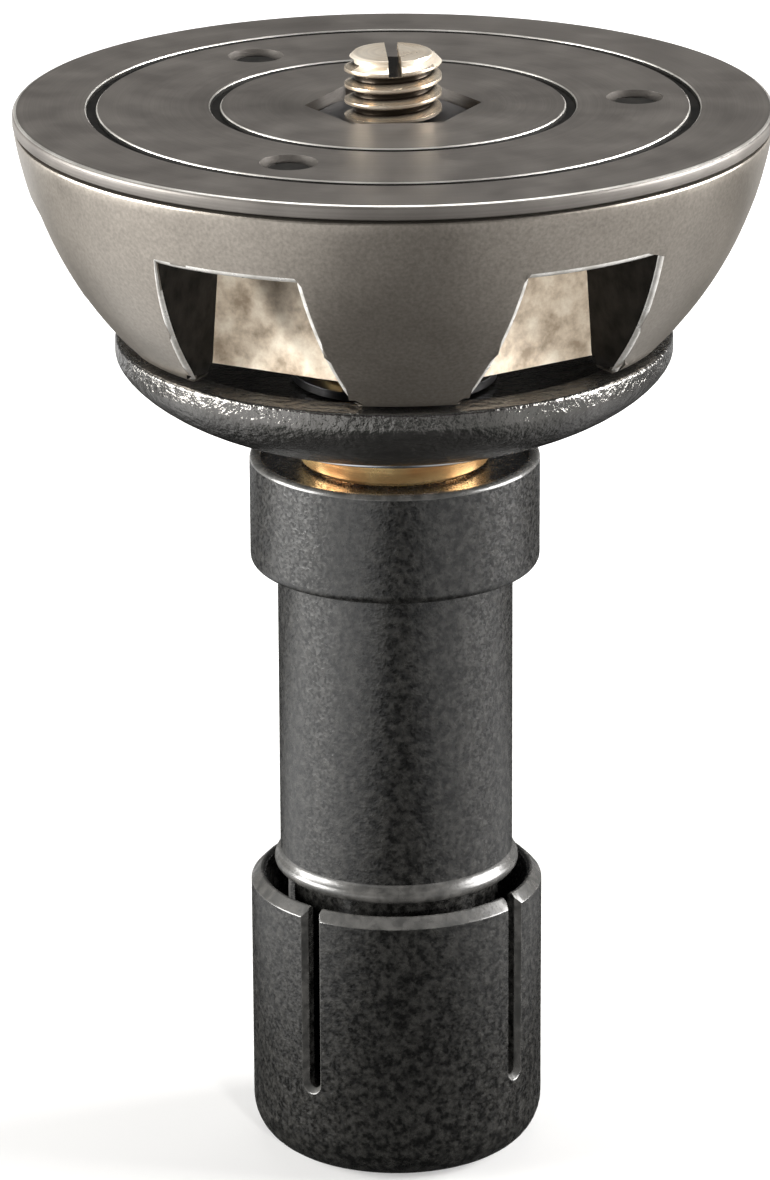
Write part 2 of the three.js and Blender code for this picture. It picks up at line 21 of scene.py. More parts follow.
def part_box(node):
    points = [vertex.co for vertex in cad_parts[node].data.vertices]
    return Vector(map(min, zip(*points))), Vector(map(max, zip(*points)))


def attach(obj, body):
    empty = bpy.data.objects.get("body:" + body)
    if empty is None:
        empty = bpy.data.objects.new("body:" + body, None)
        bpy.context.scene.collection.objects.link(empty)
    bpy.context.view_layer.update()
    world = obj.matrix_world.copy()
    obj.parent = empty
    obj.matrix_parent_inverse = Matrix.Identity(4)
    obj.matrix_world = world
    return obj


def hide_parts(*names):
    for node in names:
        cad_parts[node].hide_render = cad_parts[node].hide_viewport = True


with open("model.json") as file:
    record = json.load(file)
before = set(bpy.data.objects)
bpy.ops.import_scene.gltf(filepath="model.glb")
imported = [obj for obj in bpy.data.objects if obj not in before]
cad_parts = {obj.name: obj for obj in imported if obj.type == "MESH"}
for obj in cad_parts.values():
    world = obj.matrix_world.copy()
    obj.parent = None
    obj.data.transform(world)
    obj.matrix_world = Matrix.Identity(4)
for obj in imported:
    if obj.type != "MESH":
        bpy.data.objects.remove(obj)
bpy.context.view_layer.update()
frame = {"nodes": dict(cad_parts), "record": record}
MM = 0.001
FULL_TURN = 2 * math.pi

# %% [markdown]
# ## Where things are
#
# The CAD frame knows the height of every piece, so a new piece takes its place
# from there instead of from a typed number. `heights` gives the lowest and the
# highest point of a CAD node in millimetres.

# %% Read heights from the frame
def heights(node):
    low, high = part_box(node)
    return low.z / MM, high.z / MM


plate_low, plate_top = heights("top_plate")
ball_low, ball_top = heights("half_ball_casting")
dish_low, dish_top = heights("clamp_dish")
grip_low, grip_top = heights("grip")
tube_low, tube_top = heights("handle_tube")
print("plate top", round(plate_top, 2), "dish rim", round(dish_top, 2), "grip rim", round(grip_top, 2))

# %% [markdown]
# ## The camera
#
# The photograph looks down on the adapter by about 19 degrees through a long
# lens. The width and height of the round rims in it give both. The lens and the
# distance belong together: a longer lens from further away flattens the rims.
# The camera stands a little to the left of the front, which puts the front
# finger of the casting a little to the right of the axis.

# %% Place the camera
CAMERA_DISTANCE = 602.7
CAMERA_ELEVATION = math.radians(19.28)
CAMERA_AZIMUTH = math.radians(-3)
CAMERA_TARGET_BELOW_PLATE = 50.33
CAMERA_ROLL = math.radians(-0.25)
CAMERA_SHIFT = (-0.0087, 0.0)
SENSOR = 36.0
LENS = SENSOR * 6000 / 1180

back = Vector((
    math.sin(CAMERA_AZIMUTH) * math.cos(CAMERA_ELEVATION),
    -math.cos(CAMERA_AZIMUTH) * math.cos(CAMERA_ELEVATION),
    math.sin(CAMERA_ELEVATION),
))
target = Vector((0, 0, (plate_top - CAMERA_TARGET_BELOW_PLATE) * MM))
camera_data = bpy.data.cameras.new("camera")
camera_data.lens = LENS
camera_data.sensor_width = SENSOR
camera_data.sensor_fit = "AUTO"
camera_data.shift_x, camera_data.shift_y = CAMERA_SHIFT
camera_data.clip_start, camera_data.clip_end = 0.01, 20
camera = bpy.data.objects.new("camera", camera_data)
bpy.context.collection.objects.link(camera)
camera.location = target + back * CAMERA_DISTANCE * MM
facing = (-back).to_track_quat("-Z", "Y").to_matrix().to_4x4()
camera.matrix_world = (
    Matrix.Translation(camera.location) @ facing @ Matrix.Rotation(CAMERA_ROLL, 4, "Z")
)
bpy.context.scene.camera = camera
print("lens", round(LENS, 1), "mm, camera at", [round(v, 3) for v in camera.location])

# %% [markdown]
# ## The studio
#
# Every round surface in the photograph is bright at both sides and dark in the
# middle, so two large soft lamps stand at the sides here, with a dark room
# behind the camera. How the real picture was lit isn't known: the lamps, the
# room and the table that reflections see were set by comparing the pictures.
# The white background glows for the camera alone and lights nothing.

# %% Three node helpers
def ramp(tree, value, *stops):
    """Turns a value from 0 to 1 into a colour between the stops."""
    node = tree.nodes.new("ShaderNodeValToRGB")
    elements = node.color_ramp.elements
    while len(elements) < len(stops):
        elements.new(0.5)
    for element, (position, colour) in zip(elements, stops):
        element.position = position
        element.color = (*colour, 1)
    tree.links.new(value, node.inputs[0])
    return node.outputs["Color"]


def remap(tree, value, low, high, from_low=0.0, from_high=1.0):
    node = tree.nodes.new("ShaderNodeMapRange")
    for key, number in zip(("From Min", "From Max", "To Min", "To Max"), (from_low, from_high, low, high)):
        node.inputs[key].default_value = number
    tree.links.new(value, node.inputs["Value"])
    return node.outputs["Result"]


def join_values(tree, kind, first, second):
    node = tree.nodes.new("ShaderNodeMath")
    node.operation = kind
    tree.links.new(first, node.inputs[0])
    tree.links.new(second, node.inputs[1])
    return node.outputs[0]


# %% Colour management, floor and world
scene = bpy.context.scene
scene.view_settings.view_transform = "Standard"
AMBIENT = 0.04
ROOM_REFLECTION = [(0.14, 0.02), (0.36, 0.45), (0.55, 0.5), (0.72, 0.25), (0.9, 0.09), (1.0, 0.08)]
FLOOR_TONE, FLOOR_SHOWN = 0.10, 0.5
GLOW_NEAR, GLOW_FAR, GLOW_START, GLOW_END = 0.30, 1.0, 90, 220
CARD_TONE, CARD_NEAR, CARD_FAR = 1.15, 35, 95
CARD_END, CARD_GONE = 50, 120
RIGHT_CARD = 0.5
TABLE_BACK, TABLE_FAR, TABLE_TONE = 170, 260, 0.75
STRIP_TONE, SHADOW_TONE = 0.03, 0.1


def build_world():
    world = bpy.data.worlds.new("studio")
    scene.world = world
    world.use_nodes = True
    tree = world.node_tree
    tree.nodes.clear()
    out = tree.nodes.new("ShaderNodeOutputWorld")
    rays = tree.nodes.new("ShaderNodeLightPath")
    where = tree.nodes.new("ShaderNodeTexCoord")
    split = tree.nodes.new("ShaderNodeSeparateXYZ")
    tree.links.new(where.outputs["Generated"], split.inputs[0])
    # Seen in a reflection, the room is dark in front and bright at the sides
    along = remap(tree, split.outputs["Y"], 0, 1, -1, 1)
    grey = [(at, (level, level, level)) for at, level in ROOM_REFLECTION]
    room = ramp(tree, along, *grey)
    ambient = tree.nodes.new("ShaderNodeBackground")
    ambient.inputs["Color"].default_value = (0.98, 0.99, 1.0, 1)
    ambient.inputs["Strength"].default_value = AMBIENT
    shown = tree.nodes.new("ShaderNodeBackground")
    shown.inputs["Strength"].default_value = 1.0
    mirrored = tree.nodes.new("ShaderNodeBackground")
    tree.links.new(room, mirrored.inputs["Strength"])
    by_gloss = tree.nodes.new("ShaderNodeMixShader")
    by_camera = tree.nodes.new("ShaderNodeMixShader")
    seen = tree.nodes.new("ShaderNodeMath")
    seen.operation = "MAXIMUM"
    tree.links.new(rays.outputs["Is Glossy Ray"], seen.inputs[0])
    tree.links.new(rays.outputs["Is Transmission Ray"], seen.inputs[1])
    tree.links.new(seen.outputs[0], by_gloss.inputs[0])
    tree.links.new(ambient.outputs[0], by_gloss.inputs[1])
    tree.links.new(mirrored.outputs[0], by_gloss.inputs[2])
    tree.links.new(rays.outputs["Is Camera Ray"], by_camera.inputs[0])
    tree.links.new(by_gloss.outputs[0], by_camera.inputs[1])
    tree.links.new(shown.outputs[0], by_camera.inputs[2])
    tree.links.new(by_camera.outputs[0], out.inputs[0])


def build_floor():
    bpy.ops.object.select_all(action="DESELECT")
    bpy.ops.mesh.primitive_plane_add(size=12, location=(0, 0, 0))
    floor = bpy.context.object
    floor.name = "floor"
    paper = bpy.data.materials.new("white paper")
    paper.use_nodes = True
    tree = paper.node_tree
    tree.nodes.clear()
    out = tree.nodes.new("ShaderNodeOutputMaterial")
    rays = tree.nodes.new("ShaderNodeLightPath")
    matt = tree.nodes.new("ShaderNodeBsdfDiffuse")
    # The camera sees paler paper than the light that bounces off it would ask for
    paper_tone = remap(tree, rays.outputs["Is Camera Ray"], FLOOR_TONE, FLOOR_SHOWN)
    tree.links.new(paper_tone, matt.inputs["Color"])
    glow = tree.nodes.new("ShaderNodeEmission")
    glow.inputs["Color"].default_value = (1, 1, 1, 1)
    # In a reflection, pale cards lie beside a dark strip, the right one dimmer.
    # They end behind the object, and the table is pale again further back.
    where = tree.nodes.new("ShaderNodeTexCoord")
    split = tree.nodes.new("ShaderNodeSeparateXYZ")
    aside = tree.nodes.new("ShaderNodeMath")
    aside.operation = "ABSOLUTE"
    cards = tree.nodes.new("ShaderNodeEmission")
    tree.links.new(where.outputs["Object"], split.inputs[0])
    tree.links.new(split.outputs["X"], aside.inputs[0])
    # Near the object the glow stays low, so the floor keeps its shadow
    distance = tree.nodes.new("ShaderNodeVectorMath")
    distance.operation = "LENGTH"
    tree.links.new(where.outputs["Object"], distance.inputs[0])
    white = remap(tree, distance.outputs["Value"], GLOW_NEAR, GLOW_FAR, GLOW_START * MM, GLOW_END * MM)
    white = join_values(tree, "MULTIPLY", white, rays.outputs["Is Camera Ray"])
    tree.links.new(white, glow.inputs["Strength"])
    card = remap(tree, aside.outputs[0], STRIP_TONE, CARD_TONE, CARD_NEAR * MM, CARD_FAR * MM)
    near = remap(tree, split.outputs["Y"], 1, SHADOW_TONE, CARD_END * MM, CARD_GONE * MM)
    far = remap(tree, split.outputs["Y"], 0, TABLE_TONE, TABLE_BACK * MM, TABLE_FAR * MM)
    right = remap(tree, split.outputs["X"], 1, RIGHT_CARD, 0, CARD_FAR * MM)
    strength = join_values(tree, "MAXIMUM", near, far)
    for value in (card, right):
        strength = join_values(tree, "MULTIPLY", strength, value)
    tree.links.new(strength, cards.inputs["Strength"])
    by_gloss = tree.nodes.new("ShaderNodeMixShader")
    tree.links.new(rays.outputs["Is Glossy Ray"], by_gloss.inputs[0])
    tree.links.new(matt.outputs[0], by_gloss.inputs[1])
    tree.links.new(cards.outputs[0], by_gloss.inputs[2])
    both = tree.nodes.new("ShaderNodeAddShader")
    tree.links.new(by_gloss.outputs[0], both.inputs[0])
    tree.links.new(glow.outputs[0], both.inputs[1])
    tree.links.new(both.outputs[0], out.inputs[0])
    floor.data.materials.append(paper)


build_world()
build_floor()
print("world and floor ready")

# %% Soft lamps
LAMP_AIM = 75
WARM_WHITE, WARMER_WHITE = (1.0, 0.985, 0.965), (1.0, 0.985, 0.955)


def add_lamp(name, azimuth, elevation, distance, width, height, power, colour):
    data = bpy.data.lights.new(name, "AREA")
    data.shape = "RECTANGLE"
    data.size, data.size_y = width, height
    data.energy = power
    data.color = colour
    lamp = bpy.data.objects.new(name, data)
    bpy.context.collection.objects.link(lamp)
    a, e = math.radians(azimuth), math.radians(elevation)
    away = Vector((math.sin(a) * math.cos(e), -math.cos(a) * math.cos(e), math.sin(e)))
    aim = Vector((0, 0, LAMP_AIM * MM))
    lamp.location = aim + away * distance
    lamp.rotation_euler = (-away).to_track_quat("-Z", "Y").to_euler()
    return lamp


add_lamp("left softbox", -88, 9, 0.55, 0.42, 0.34, 9.4, WARMER_WHITE)
add_lamp("right softbox", 91, 14, 0.60, 0.42, 0.40, 11.5, WARM_WHITE)
add_lamp("top softbox", 175, 72, 0.60, 0.36, 0.36, 1.9, WARM_WHITE)
front_lamp = add_lamp("front lamp", 13, 10, 0.80, 0.06, 0.06, 5.0, WARM_WHITE)
# It only lights paint: as a small bright spot it would show in the handle
front_lamp.visible_glossy = False

# %% [markdown]
# ## Finishes
#
# Each finish is one material made from nodes, with the grain and wear that the
# real one shows. They read Object coordinates in metres: the pattern sits still
# on the piece, and its scale is the real one.

# %% A start for every finish
def new_finish(name, roughness, metallic=0.0, specular=None):
    material = bpy.data.materials.new(name)
    material.use_nodes = True
    tree = material.node_tree
    shader = tree.nodes["Principled BSDF"]
    shader.inputs["Roughness"].default_value = roughness
    shader.inputs["Metallic"].default_value = metallic
    if specular is not None:
        shader.inputs["Specular IOR Level"].default_value = specular
    where = tree.nodes.new("ShaderNodeTexCoord")
    return material, tree, shader, where.outputs["Object"]


def grain(tree, place, size_mm, detail=4.0, roughness=0.55):
    noise = tree.nodes.new("ShaderNodeTexNoise")
    noise.inputs["Scale"].default_value = 1 / (size_mm * MM)
    noise.inputs["Detail"].default_value = detail
    noise.inputs["Roughness"].default_value = roughness
    tree.links.new(place, noise.inputs["Vector"])
    return noise.outputs["Fac"]


def add_bump(tree, shader, height, depth_mm, strength=1.0, under=None):
    node = tree.nodes.new("ShaderNodeBump")
    node.inputs["Strength"].default_value = strength
    node.inputs["Distance"].default_value = depth_mm * MM
    tree.links.new(height, node.inputs["Height"])
    if under is not None:
        tree.links.new(under, node.inputs["Normal"])
    tree.links.new(node.outputs["Normal"], shader.inputs["Normal"])
    return node.outputs["Normal"]


def blend_colours(tree, kind, share, first, second):
    node = tree.nodes.new("ShaderNodeMix")
    node.data_type = "RGBA"
    node.blend_type = kind
    for socket, value in ((node.inputs[0], share), (node.inputs[6], first), (node.inputs[7], second)):
        if hasattr(value, "links"):
            tree.links.new(value, socket)
        else:
            socket.default_value = value
    return node.outputs[2]


def radius_of(tree, place):
    """Distance from the object's axis, for patterns left by a lathe."""
    flat = tree.nodes.new("ShaderNodeVectorMath")
    flat.operation = "MULTIPLY"
    flat.inputs[1].default_value = (1, 1, 0)
    tree.links.new(place, flat.inputs[0])
    length = tree.nodes.new("ShaderNodeVectorMath")
    length.operation = "LENGTH"
    tree.links.new(flat.outputs[0], length.inputs[0])
    return length.outputs["Value"]


def lathe_lines(tree, place, pitch_mm):
    """Fine rings round the axis, uneven as real tool marks are."""
    combine = tree.nodes.new("ShaderNodeCombineXYZ")
    tree.links.new(radius_of(tree, place), combine.inputs[0])
    split = tree.nodes.new("ShaderNodeSeparateXYZ")
    tree.links.new(place, split.inputs[0])
    tree.links.new(split.outputs["Z"], combine.inputs[1])
    noise = tree.nodes.new("ShaderNodeTexNoise")
    noise.inputs["Scale"].default_value = 1 / (pitch_mm * MM)
    noise.inputs["Detail"].default_value = 3
    tree.links.new(combine.outputs[0], noise.inputs["Vector"])
    return noise.outputs["Fac"]


print("finish helpers ready")

# %% [markdown]
# ### Painted castings
#
# The half ball is a die casting under a warm grey paint with a little metal in
# it. The paint has a very fine grain and faint clouds where it dried unevenly.
# Inside the pockets the same paint lies thin and blotchy over the raw casting,
# which shows through in a beige tone.

# %% Ball paint, pocket floor and dish paint
def make_ball_paint():
    material, tree, shader, place = new_finish("warm grey ball paint", 0.40, 0.78)
    clouds = grain(tree, place, 9, 5, 0.6)
    speck = grain(tree, place, 0.35, 2)
    colour = ramp(tree, clouds, (0.30, (0.27, 0.244, 0.212)), (0.70, (0.31, 0.281, 0.246)))
    fine = ramp(tree, speck, (0.3, (0.82, 0.82, 0.82)), (0.7, (1.12, 1.12, 1.12)))
    tree.links.new(blend_colours(tree, "MULTIPLY", 1.0, colour, fine), shader.inputs["Base Color"])
    tree.links.new(remap(tree, clouds, 0.28, 0.37, 0.3, 0.7), shader.inputs["Roughness"])
    add_bump(tree, shader, speck, 0.006, 0.8)
    return material


def make_pocket_paint():
    material, tree, shader, place = new_finish("thin paint over raw casting", 0.5, 0.2)
    blotches = grain(tree, place, 2.6, 6, 0.62)
    speck = grain(tree, place, 0.5, 3)
    colour = ramp(
        tree, blotches,
        (0.34, (0.42, 0.33, 0.24)), (0.50, (0.74, 0.62, 0.48)), (0.66, (0.98, 0.88, 0.72)),
    )
    tree.links.new(colour, shader.inputs["Base Color"])
    tree.links.new(remap(tree, blotches, 0.62, 0.34, 0.3, 0.7), shader.inputs["Roughness"])
    soft = add_bump(tree, shader, blotches, 0.12, 0.7)
    add_bump(tree, shader, speck, 0.03, 0.6, soft)
    return material


# Painted shade: a near-black finish put where shade falls, on the pockets' side walls, in the plate's
# grooves and round the set screws' ends.
def make_painted_shade():
    material, tree, shader, place = new_finish("painted shade in hollows", 0.7, 0.0, 0.2)
    blotches = grain(tree, place, 2.0, 5, 0.6)
    colour = ramp(tree, blotches, (0.35, (0.004, 0.004, 0.0035)), (0.65, (0.02, 0.018, 0.016)))
    tree.links.new(colour, shader.inputs["Base Color"])
    add_bump(tree, shader, blotches, 0.08, 0.6)
    return material


def make_dish_paint():
    material, tree, shader, place = new_finish("grainy dark dish paint", 0.22, 0.9)
    pebbles = grain(tree, place, 0.9, 3, 0.6)
    clouds = grain(tree, place, 6, 3)
    colour = ramp(tree, clouds, (0.3, (0.12, 0.117, 0.111)), (0.7, (0.21, 0.204, 0.195)))
    tree.links.new(colour, shader.inputs["Base Color"])
    tree.links.new(remap(tree, pebbles, 0.12, 0.26, 0.35, 0.65), shader.inputs["Roughness"])
    add_bump(tree, shader, pebbles, 0.25, 1.0)
    return material


# A painted highlight: a pale finish for the rounded mouths of the pockets, so that they show as light
# lines.
def make_edge_highlight():
    material, tree, shader, place = new_finish("painted highlight on cast edges", 0.3, 0.55)
    highlight_patches = grain(tree, place, 1.6, 4, 0.6)
    colour = ramp(tree, highlight_patches, (0.36, (0.60, 0.58, 0.54)), (0.60, (0.90, 0.885, 0.85)))
    tree.links.new(colour, shader.inputs["Base Color"])
    tree.links.new(remap(tree, highlight_patches, 0.40, 0.24, 0.3, 0.7), shader.inputs["Roughness"])
    add_bump(tree, shader, highlight_patches, 0.04, 0.6)
    return material


edge_highlight = make_edge_highlight()
ball_paint = make_ball_paint()
pocket_paint = make_pocket_paint()
painted_shade = make_painted_shade()
dish_paint = make_dish_paint()

# %% [markdown]
# ### Turned metal
#
# The plate was faced on a lathe and coated dark, so fine rings run round its
# middle. The brass, the bright washers and the rod show the same rings, finer.
# One function makes them all, because only colour and roughness differ.

# %% Turned and plated metal
def make_turned(name, dark, light, roughness, pitch_mm, depth_mm, metallic=1.0, root_shade_mm=None):
    """root_shade_mm is two radii of a thread on the axis: painted shade darkens its roots inside the first
    and fades out by the second.
    """
    material, tree, shader, place = new_finish(name, roughness, metallic)
    rings = lathe_lines(tree, place, pitch_mm)
    smudge = grain(tree, place, 5, 4)
    colour = ramp(tree, smudge, (0.3, dark), (0.7, light))
    lines = ramp(tree, rings, (0.3, (0.86, 0.86, 0.86)), (0.7, (1.08, 1.08, 1.08)))
    colour = blend_colours(tree, "MULTIPLY", 1.0, colour, lines)
    # Painted shade darkens the thread's roots.
    if root_shade_mm:
        depth = remap(tree, radius_of(tree, place), 0, 1, root_shade_mm[0] * MM, root_shade_mm[1] * MM)
        root_shade = ramp(tree, depth, (0.0, (0.04, 0.035, 0.03)), (1.0, (1, 1, 1)))
        colour = blend_colours(tree, "MULTIPLY", 1.0, colour, root_shade)
    tree.links.new(colour, shader.inputs["Base Color"])
    tree.links.new(
        remap(tree, smudge, roughness * 0.9, roughness * 1.12, 0.3, 0.7), shader.inputs["Roughness"]
    )
    add_bump(tree, shader, rings, depth_mm, 0.8)
    return material


plate_coat = make_turned(
    "dark turned plate coat", (0.122, 0.112, 0.103), (0.158, 0.146, 0.134), 0.40, 0.16, 0.02, 0.45
)
# The last two radii paint shade into the stud's thread roots.
stud_plating = make_turned(
    "warm stud plating", (0.62, 0.48, 0.34), (0.95, 0.86, 0.72), 0.22, 0.3, 0.01, 0.8, (3.95, 4.4)
)
# A painted highlight: pale metal on the plate's groove chamfers, so each one shows as a light line.
chamfer_highlight = make_turned("painted highlight on groove chamfers", (0.62, 0.60, 0.56), (0.88, 0.86, 0.82), 0.34, 0.3, 0.01, 0.8)
# A painted highlight: a paler, less metallic finish so that the stud's top end shows bright.
stud_end_highlight = make_turned("painted highlight on stud end", (0.74, 0.62, 0.47), (0.98, 0.90, 0.78), 0.28, 0.3, 0.01, 0.6)
# A painted highlight: a near-white finish for the set screws' cup rims, which sit in holes that the lamps
# hardly reach.
rim_highlight = make_turned("painted highlight on cup rim", (0.86, 0.85, 0.82), (1.0, 0.99, 0.96), 0.35, 0.3, 0.01, 0.0)
bright_steel = make_turned("bright zinc plating", (0.60, 0.63, 0.67), (0.78, 0.80, 0.83), 0.24, 0.2, 0.01)
# Real black oxide on the small screws, the nut and the ring. On the stud's sunk hex base it is painted
# shade.
dark_steel = make_turned("black oxide steel", (0.075, 0.075, 0.078), (0.13, 0.13, 0.135), 0.38, 0.3, 0.008)
brass = make_turned("turned brass", (0.66, 0.31, 0.11), (1.0, 0.76, 0.36), 0.26, 0.22, 0.015, 0.85)

# %% [markdown]
# ### Black plastic
#
# The handle is moulded in a tool with a coarse spark-eroded surface. Its grain
# is about half a millimetre wide and breaks up every highlight into specks.

# %% Handle plastic
def make_handle_plastic():
    material, tree, shader, place = new_finish("black grained plastic", 0.30, 0.0, 0.8)
    coarse = grain(tree, place, 0.8, 2, 0.7)
    fine = grain(tree, place, 0.36, 2, 0.6)
    colour = ramp(tree, coarse, (0.40, (0.003, 0.003, 0.0028)), (0.66, (0.024, 0.0235, 0.022)))
    tree.links.new(colour, shader.inputs["Base Color"])
    tree.links.new(remap(tree, fine, 0.36, 0.18, 0.38, 0.62), shader.inputs["Roughness"])
    soft = add_bump(tree, shader, coarse, 0.04, 0.9)
    add_bump(tree, shader, fine, 0.035, 1.0, soft)
    return material


handle_plastic = make_handle_plastic()


# Smoother plastic for the lip, chamfers, slot edges and bead: its lower roughness is real, and its lighter
# colour is a painted sheen.
def make_smooth_plastic_sheen():
    material, tree, shader, place = new_finish("smooth plastic edge with painted sheen", 0.26, 0.0, 0.9)
    scuffs = grain(tree, place, 1.3, 4, 0.6)
    colour = ramp(tree, scuffs, (0.38, (0.03, 0.03, 0.0285)), (0.66, (0.085, 0.083, 0.079)))
    tree.links.new(colour, shader.inputs["Base Color"])
    tree.links.new(remap(tree, scuffs, 0.34, 0.22, 0.35, 0.65), shader.inputs["Roughness"])
    add_bump(tree, shader, scuffs, 0.05, 0.6)
    return material


smooth_plastic_sheen = make_smooth_plastic_sheen()
print("finishes:", sorted(m.name for m in bpy.data.materials if m.users == 0))

# %% [markdown]
# ## Tools for turned pieces
#
# Nearly every piece was turned or moulded round one axis. By hand such a piece
# is a circle that is extruded and scaled again and again along its profile, so
# `turn` does just that with the same operators. Where the profile closes on
# itself, as round a bore, the last ring is bridged to the first.

# %% Turning
def only(obj):
    bpy.ops.object.select_all(action="DESELECT")
    obj.select_set(True)
    bpy.context.view_layer.objects.active = obj


def pick_vertices(obj, wanted):
    """Selects, in edit mode, the vertices whose index is wanted."""
    bpy.ops.mesh.select_mode(type="VERT")
    bpy.ops.mesh.select_all(action="DESELECT")
    mesh = bmesh.from_edit_mesh(obj.data)
    mesh.verts.ensure_lookup_table()
    for vertex in mesh.verts:
        vertex.select = vertex.index in wanted
    mesh.select_flush(True)
    bmesh.update_edit_mesh(obj.data)


def turn(name, profile, sides=96, closed=False):
    """profile is a list of (radius, height) in mm, from one end to the other."""
    rings = [point for point in profile if point[0] > 0]
    bpy.ops.object.select_all(action="DESELECT")
    radius, z = rings[0]
    bpy.ops.mesh.primitive_circle_add(vertices=sides, radius=radius * MM)
    obj = bpy.context.object
    obj.name = name
    bpy.ops.object.mode_set(mode="EDIT")
    bpy.ops.transform.translate(value=(0, 0, z * MM))
    if profile[0][0] == 0:
        bpy.ops.mesh.edge_face_add()
    for next_radius, next_z in rings[1:]:
        bpy.ops.mesh.extrude_edges_move(TRANSFORM_OT_translate={"value": (0, 0, (next_z - z) * MM)})
        share = next_radius / radius
        bpy.ops.transform.resize(value=(share, share, 1), center_override=(0, 0, next_z * MM))
        radius, z = next_radius, next_z
    if profile[-1][0] == 0:
        bpy.ops.mesh.edge_face_add()
    if closed:
        count = sides * len(rings)
        pick_vertices(obj, set(range(sides)) | set(range(count - sides, count)))
        bpy.ops.mesh.bridge_edge_loops()
    bpy.ops.mesh.select_all(action="SELECT")
    bpy.ops.mesh.normals_make_consistent(inside=False)
    bpy.ops.object.mode_set(mode="OBJECT")
    return obj


def arc(centre_radius, centre_z, size, start, end, steps):
    """Points on a rounding of a profile; angles in degrees, 0 outwards, 90 up."""
    points = []
    for i in range(steps + 1):
        a = math.radians(start + (end - start) * i / steps)
        points.append((centre_radius + size * math.cos(a), centre_z + size * math.sin(a)))
    return points


# %% [markdown]
# Sharp edges look false in a render: a real edge has a small round or chamfer
# that catches the light. The Bevel modifier gives one to every edge that is
# sharper than a limit, and Weighted Normal keeps the flat faces beside it flat.

# %% Finishing edges and cutting holes
def apply_modifier(obj, kind, **values):
    only(obj)
    modifier = obj.modifiers.new("step", kind)
    for key, value in values.items():
        setattr(modifier, key, value)
    bpy.ops.object.modifier_apply(modifier=modifier.name)


def soften(obj, width_mm, steps=3, limit=32):
    if width_mm:
        apply_modifier(
            obj, "BEVEL", width=width_mm * MM, segments=steps, limit_method="ANGLE",
            angle_limit=math.radians(limit), use_clamp_overlap=True,
        )
    only(obj)
    bpy.ops.object.shade_smooth_by_angle(angle=math.radians(45))
    apply_modifier(obj, "WEIGHTED_NORMAL", keep_sharp=True)


def combine(obj, tool, operation="DIFFERENCE"):
    apply_modifier(obj, "BOOLEAN", object=tool, operation=operation, solver="MANIFOLD")
    bpy.data.objects.remove(tool)
    return obj


def tidy(obj, distance_mm=0.01):
    only(obj)
    bpy.ops.object.mode_set(mode="EDIT")
    bpy.ops.mesh.select_all(action="SELECT")
    bpy.ops.mesh.remove_doubles(threshold=distance_mm * MM)
    bpy.ops.mesh.normals_make_consistent(inside=False)
    bpy.ops.object.mode_set(mode="OBJECT")


def dress(obj, body, slot, material, *nodes):
    obj.data.materials.clear()
    obj.data.materials.append(material)
    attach(obj, body)
    if nodes:
        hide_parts(*nodes)
    print(obj.name, "has", len(obj.data.polygons), "faces")
    return obj


# %% [markdown]
# Some edges of a moulding are smoother than the rest. Edges that catch the
# light also get a paler colour as a painted highlight, and hollows where shade
# falls a near-black one as painted shade. `refinish` gives the faces that pass a
# test their own finish.

# %% A second finish on some faces
def refinish(obj, material, wanted):
    """wanted(centre, normal, radius) picks faces; lengths are in mm."""
    obj.data.materials.append(material)
    index = len(obj.data.materials) - 1
    count = 0
    for face in obj.data.polygons:
        centre = face.center / MM
        if wanted(centre, face.normal, math.hypot(centre.x, centre.y)):
            face.material_index = index
            count += 1
    print(obj.name, "-", material.name, "on", count, "faces")


# %% [markdown]
# ## The handle
#
# The tube is one moulding: a thick collar on top, a plain shaft and a small
# bead above the grip. The collar's top is a narrow lip round a well in which
# the brass bush turns.

# %% Handle tube
COLLAR, SHAFT, BEAD, TAIL, BORE = 14.5, 11.8, 12.4, 10.4, 8.2
LIP, WELL, SLEEVE = 1.1, 0.8, 8.8
collar_low = tube_top - 11.3
bead_low = grip_top + 0.7
bead_high = bead_low + 1.7
shelf = heights("brass_bush")[0] - 0.3
profile = (
    [(BORE + 0.4, tube_low), (TAIL - 0.5, tube_low), (TAIL, tube_low + 0.5), (TAIL, bead_low - 0.3)]
    + arc(BEAD - 0.8, bead_low + 0.7, 0.8, -70, 60, 6)
    + [(SHAFT, bead_high + 0.2), (SHAFT, collar_low - 0.1)]
    + arc(COLLAR - 0.9, collar_low + 0.9, 0.9, -90, 0, 6)
    + arc(COLLAR - 0.45, tube_top - 0.45, 0.45, 0, 90, 4)
    + arc(COLLAR - LIP + 0.3, tube_top - 0.3, 0.3, 90, 180, 3)
    + [(COLLAR - LIP, tube_top - WELL), (SLEEVE, tube_top - WELL), (SLEEVE, shelf), (BORE, shelf)]
    + [(BORE, tube_low + 0.4)]
)
tube = turn("handle_moulding", profile, 112, closed=True)
soften(tube, 0)
dress(tube, "handle", "handle_plastic", handle_plastic, "handle_tube")
# The lip and the bead get the smoother plastic with its painted sheen.
refinish(
    tube, smooth_plastic_sheen,
    lambda centre, normal, radius: (centre.z > tube_top - 0.5 and radius > COLLAR - LIP - 0.4)
    or (bead_low < centre.z < bead_high + 0.2 and radius > SHAFT),
)

# %% [markdown]
# The grip is a cup pushed on the tube's tail. Its rim has a bright chamfer and
# its foot a large round. The foot's recess hides the screw that holds the cup.

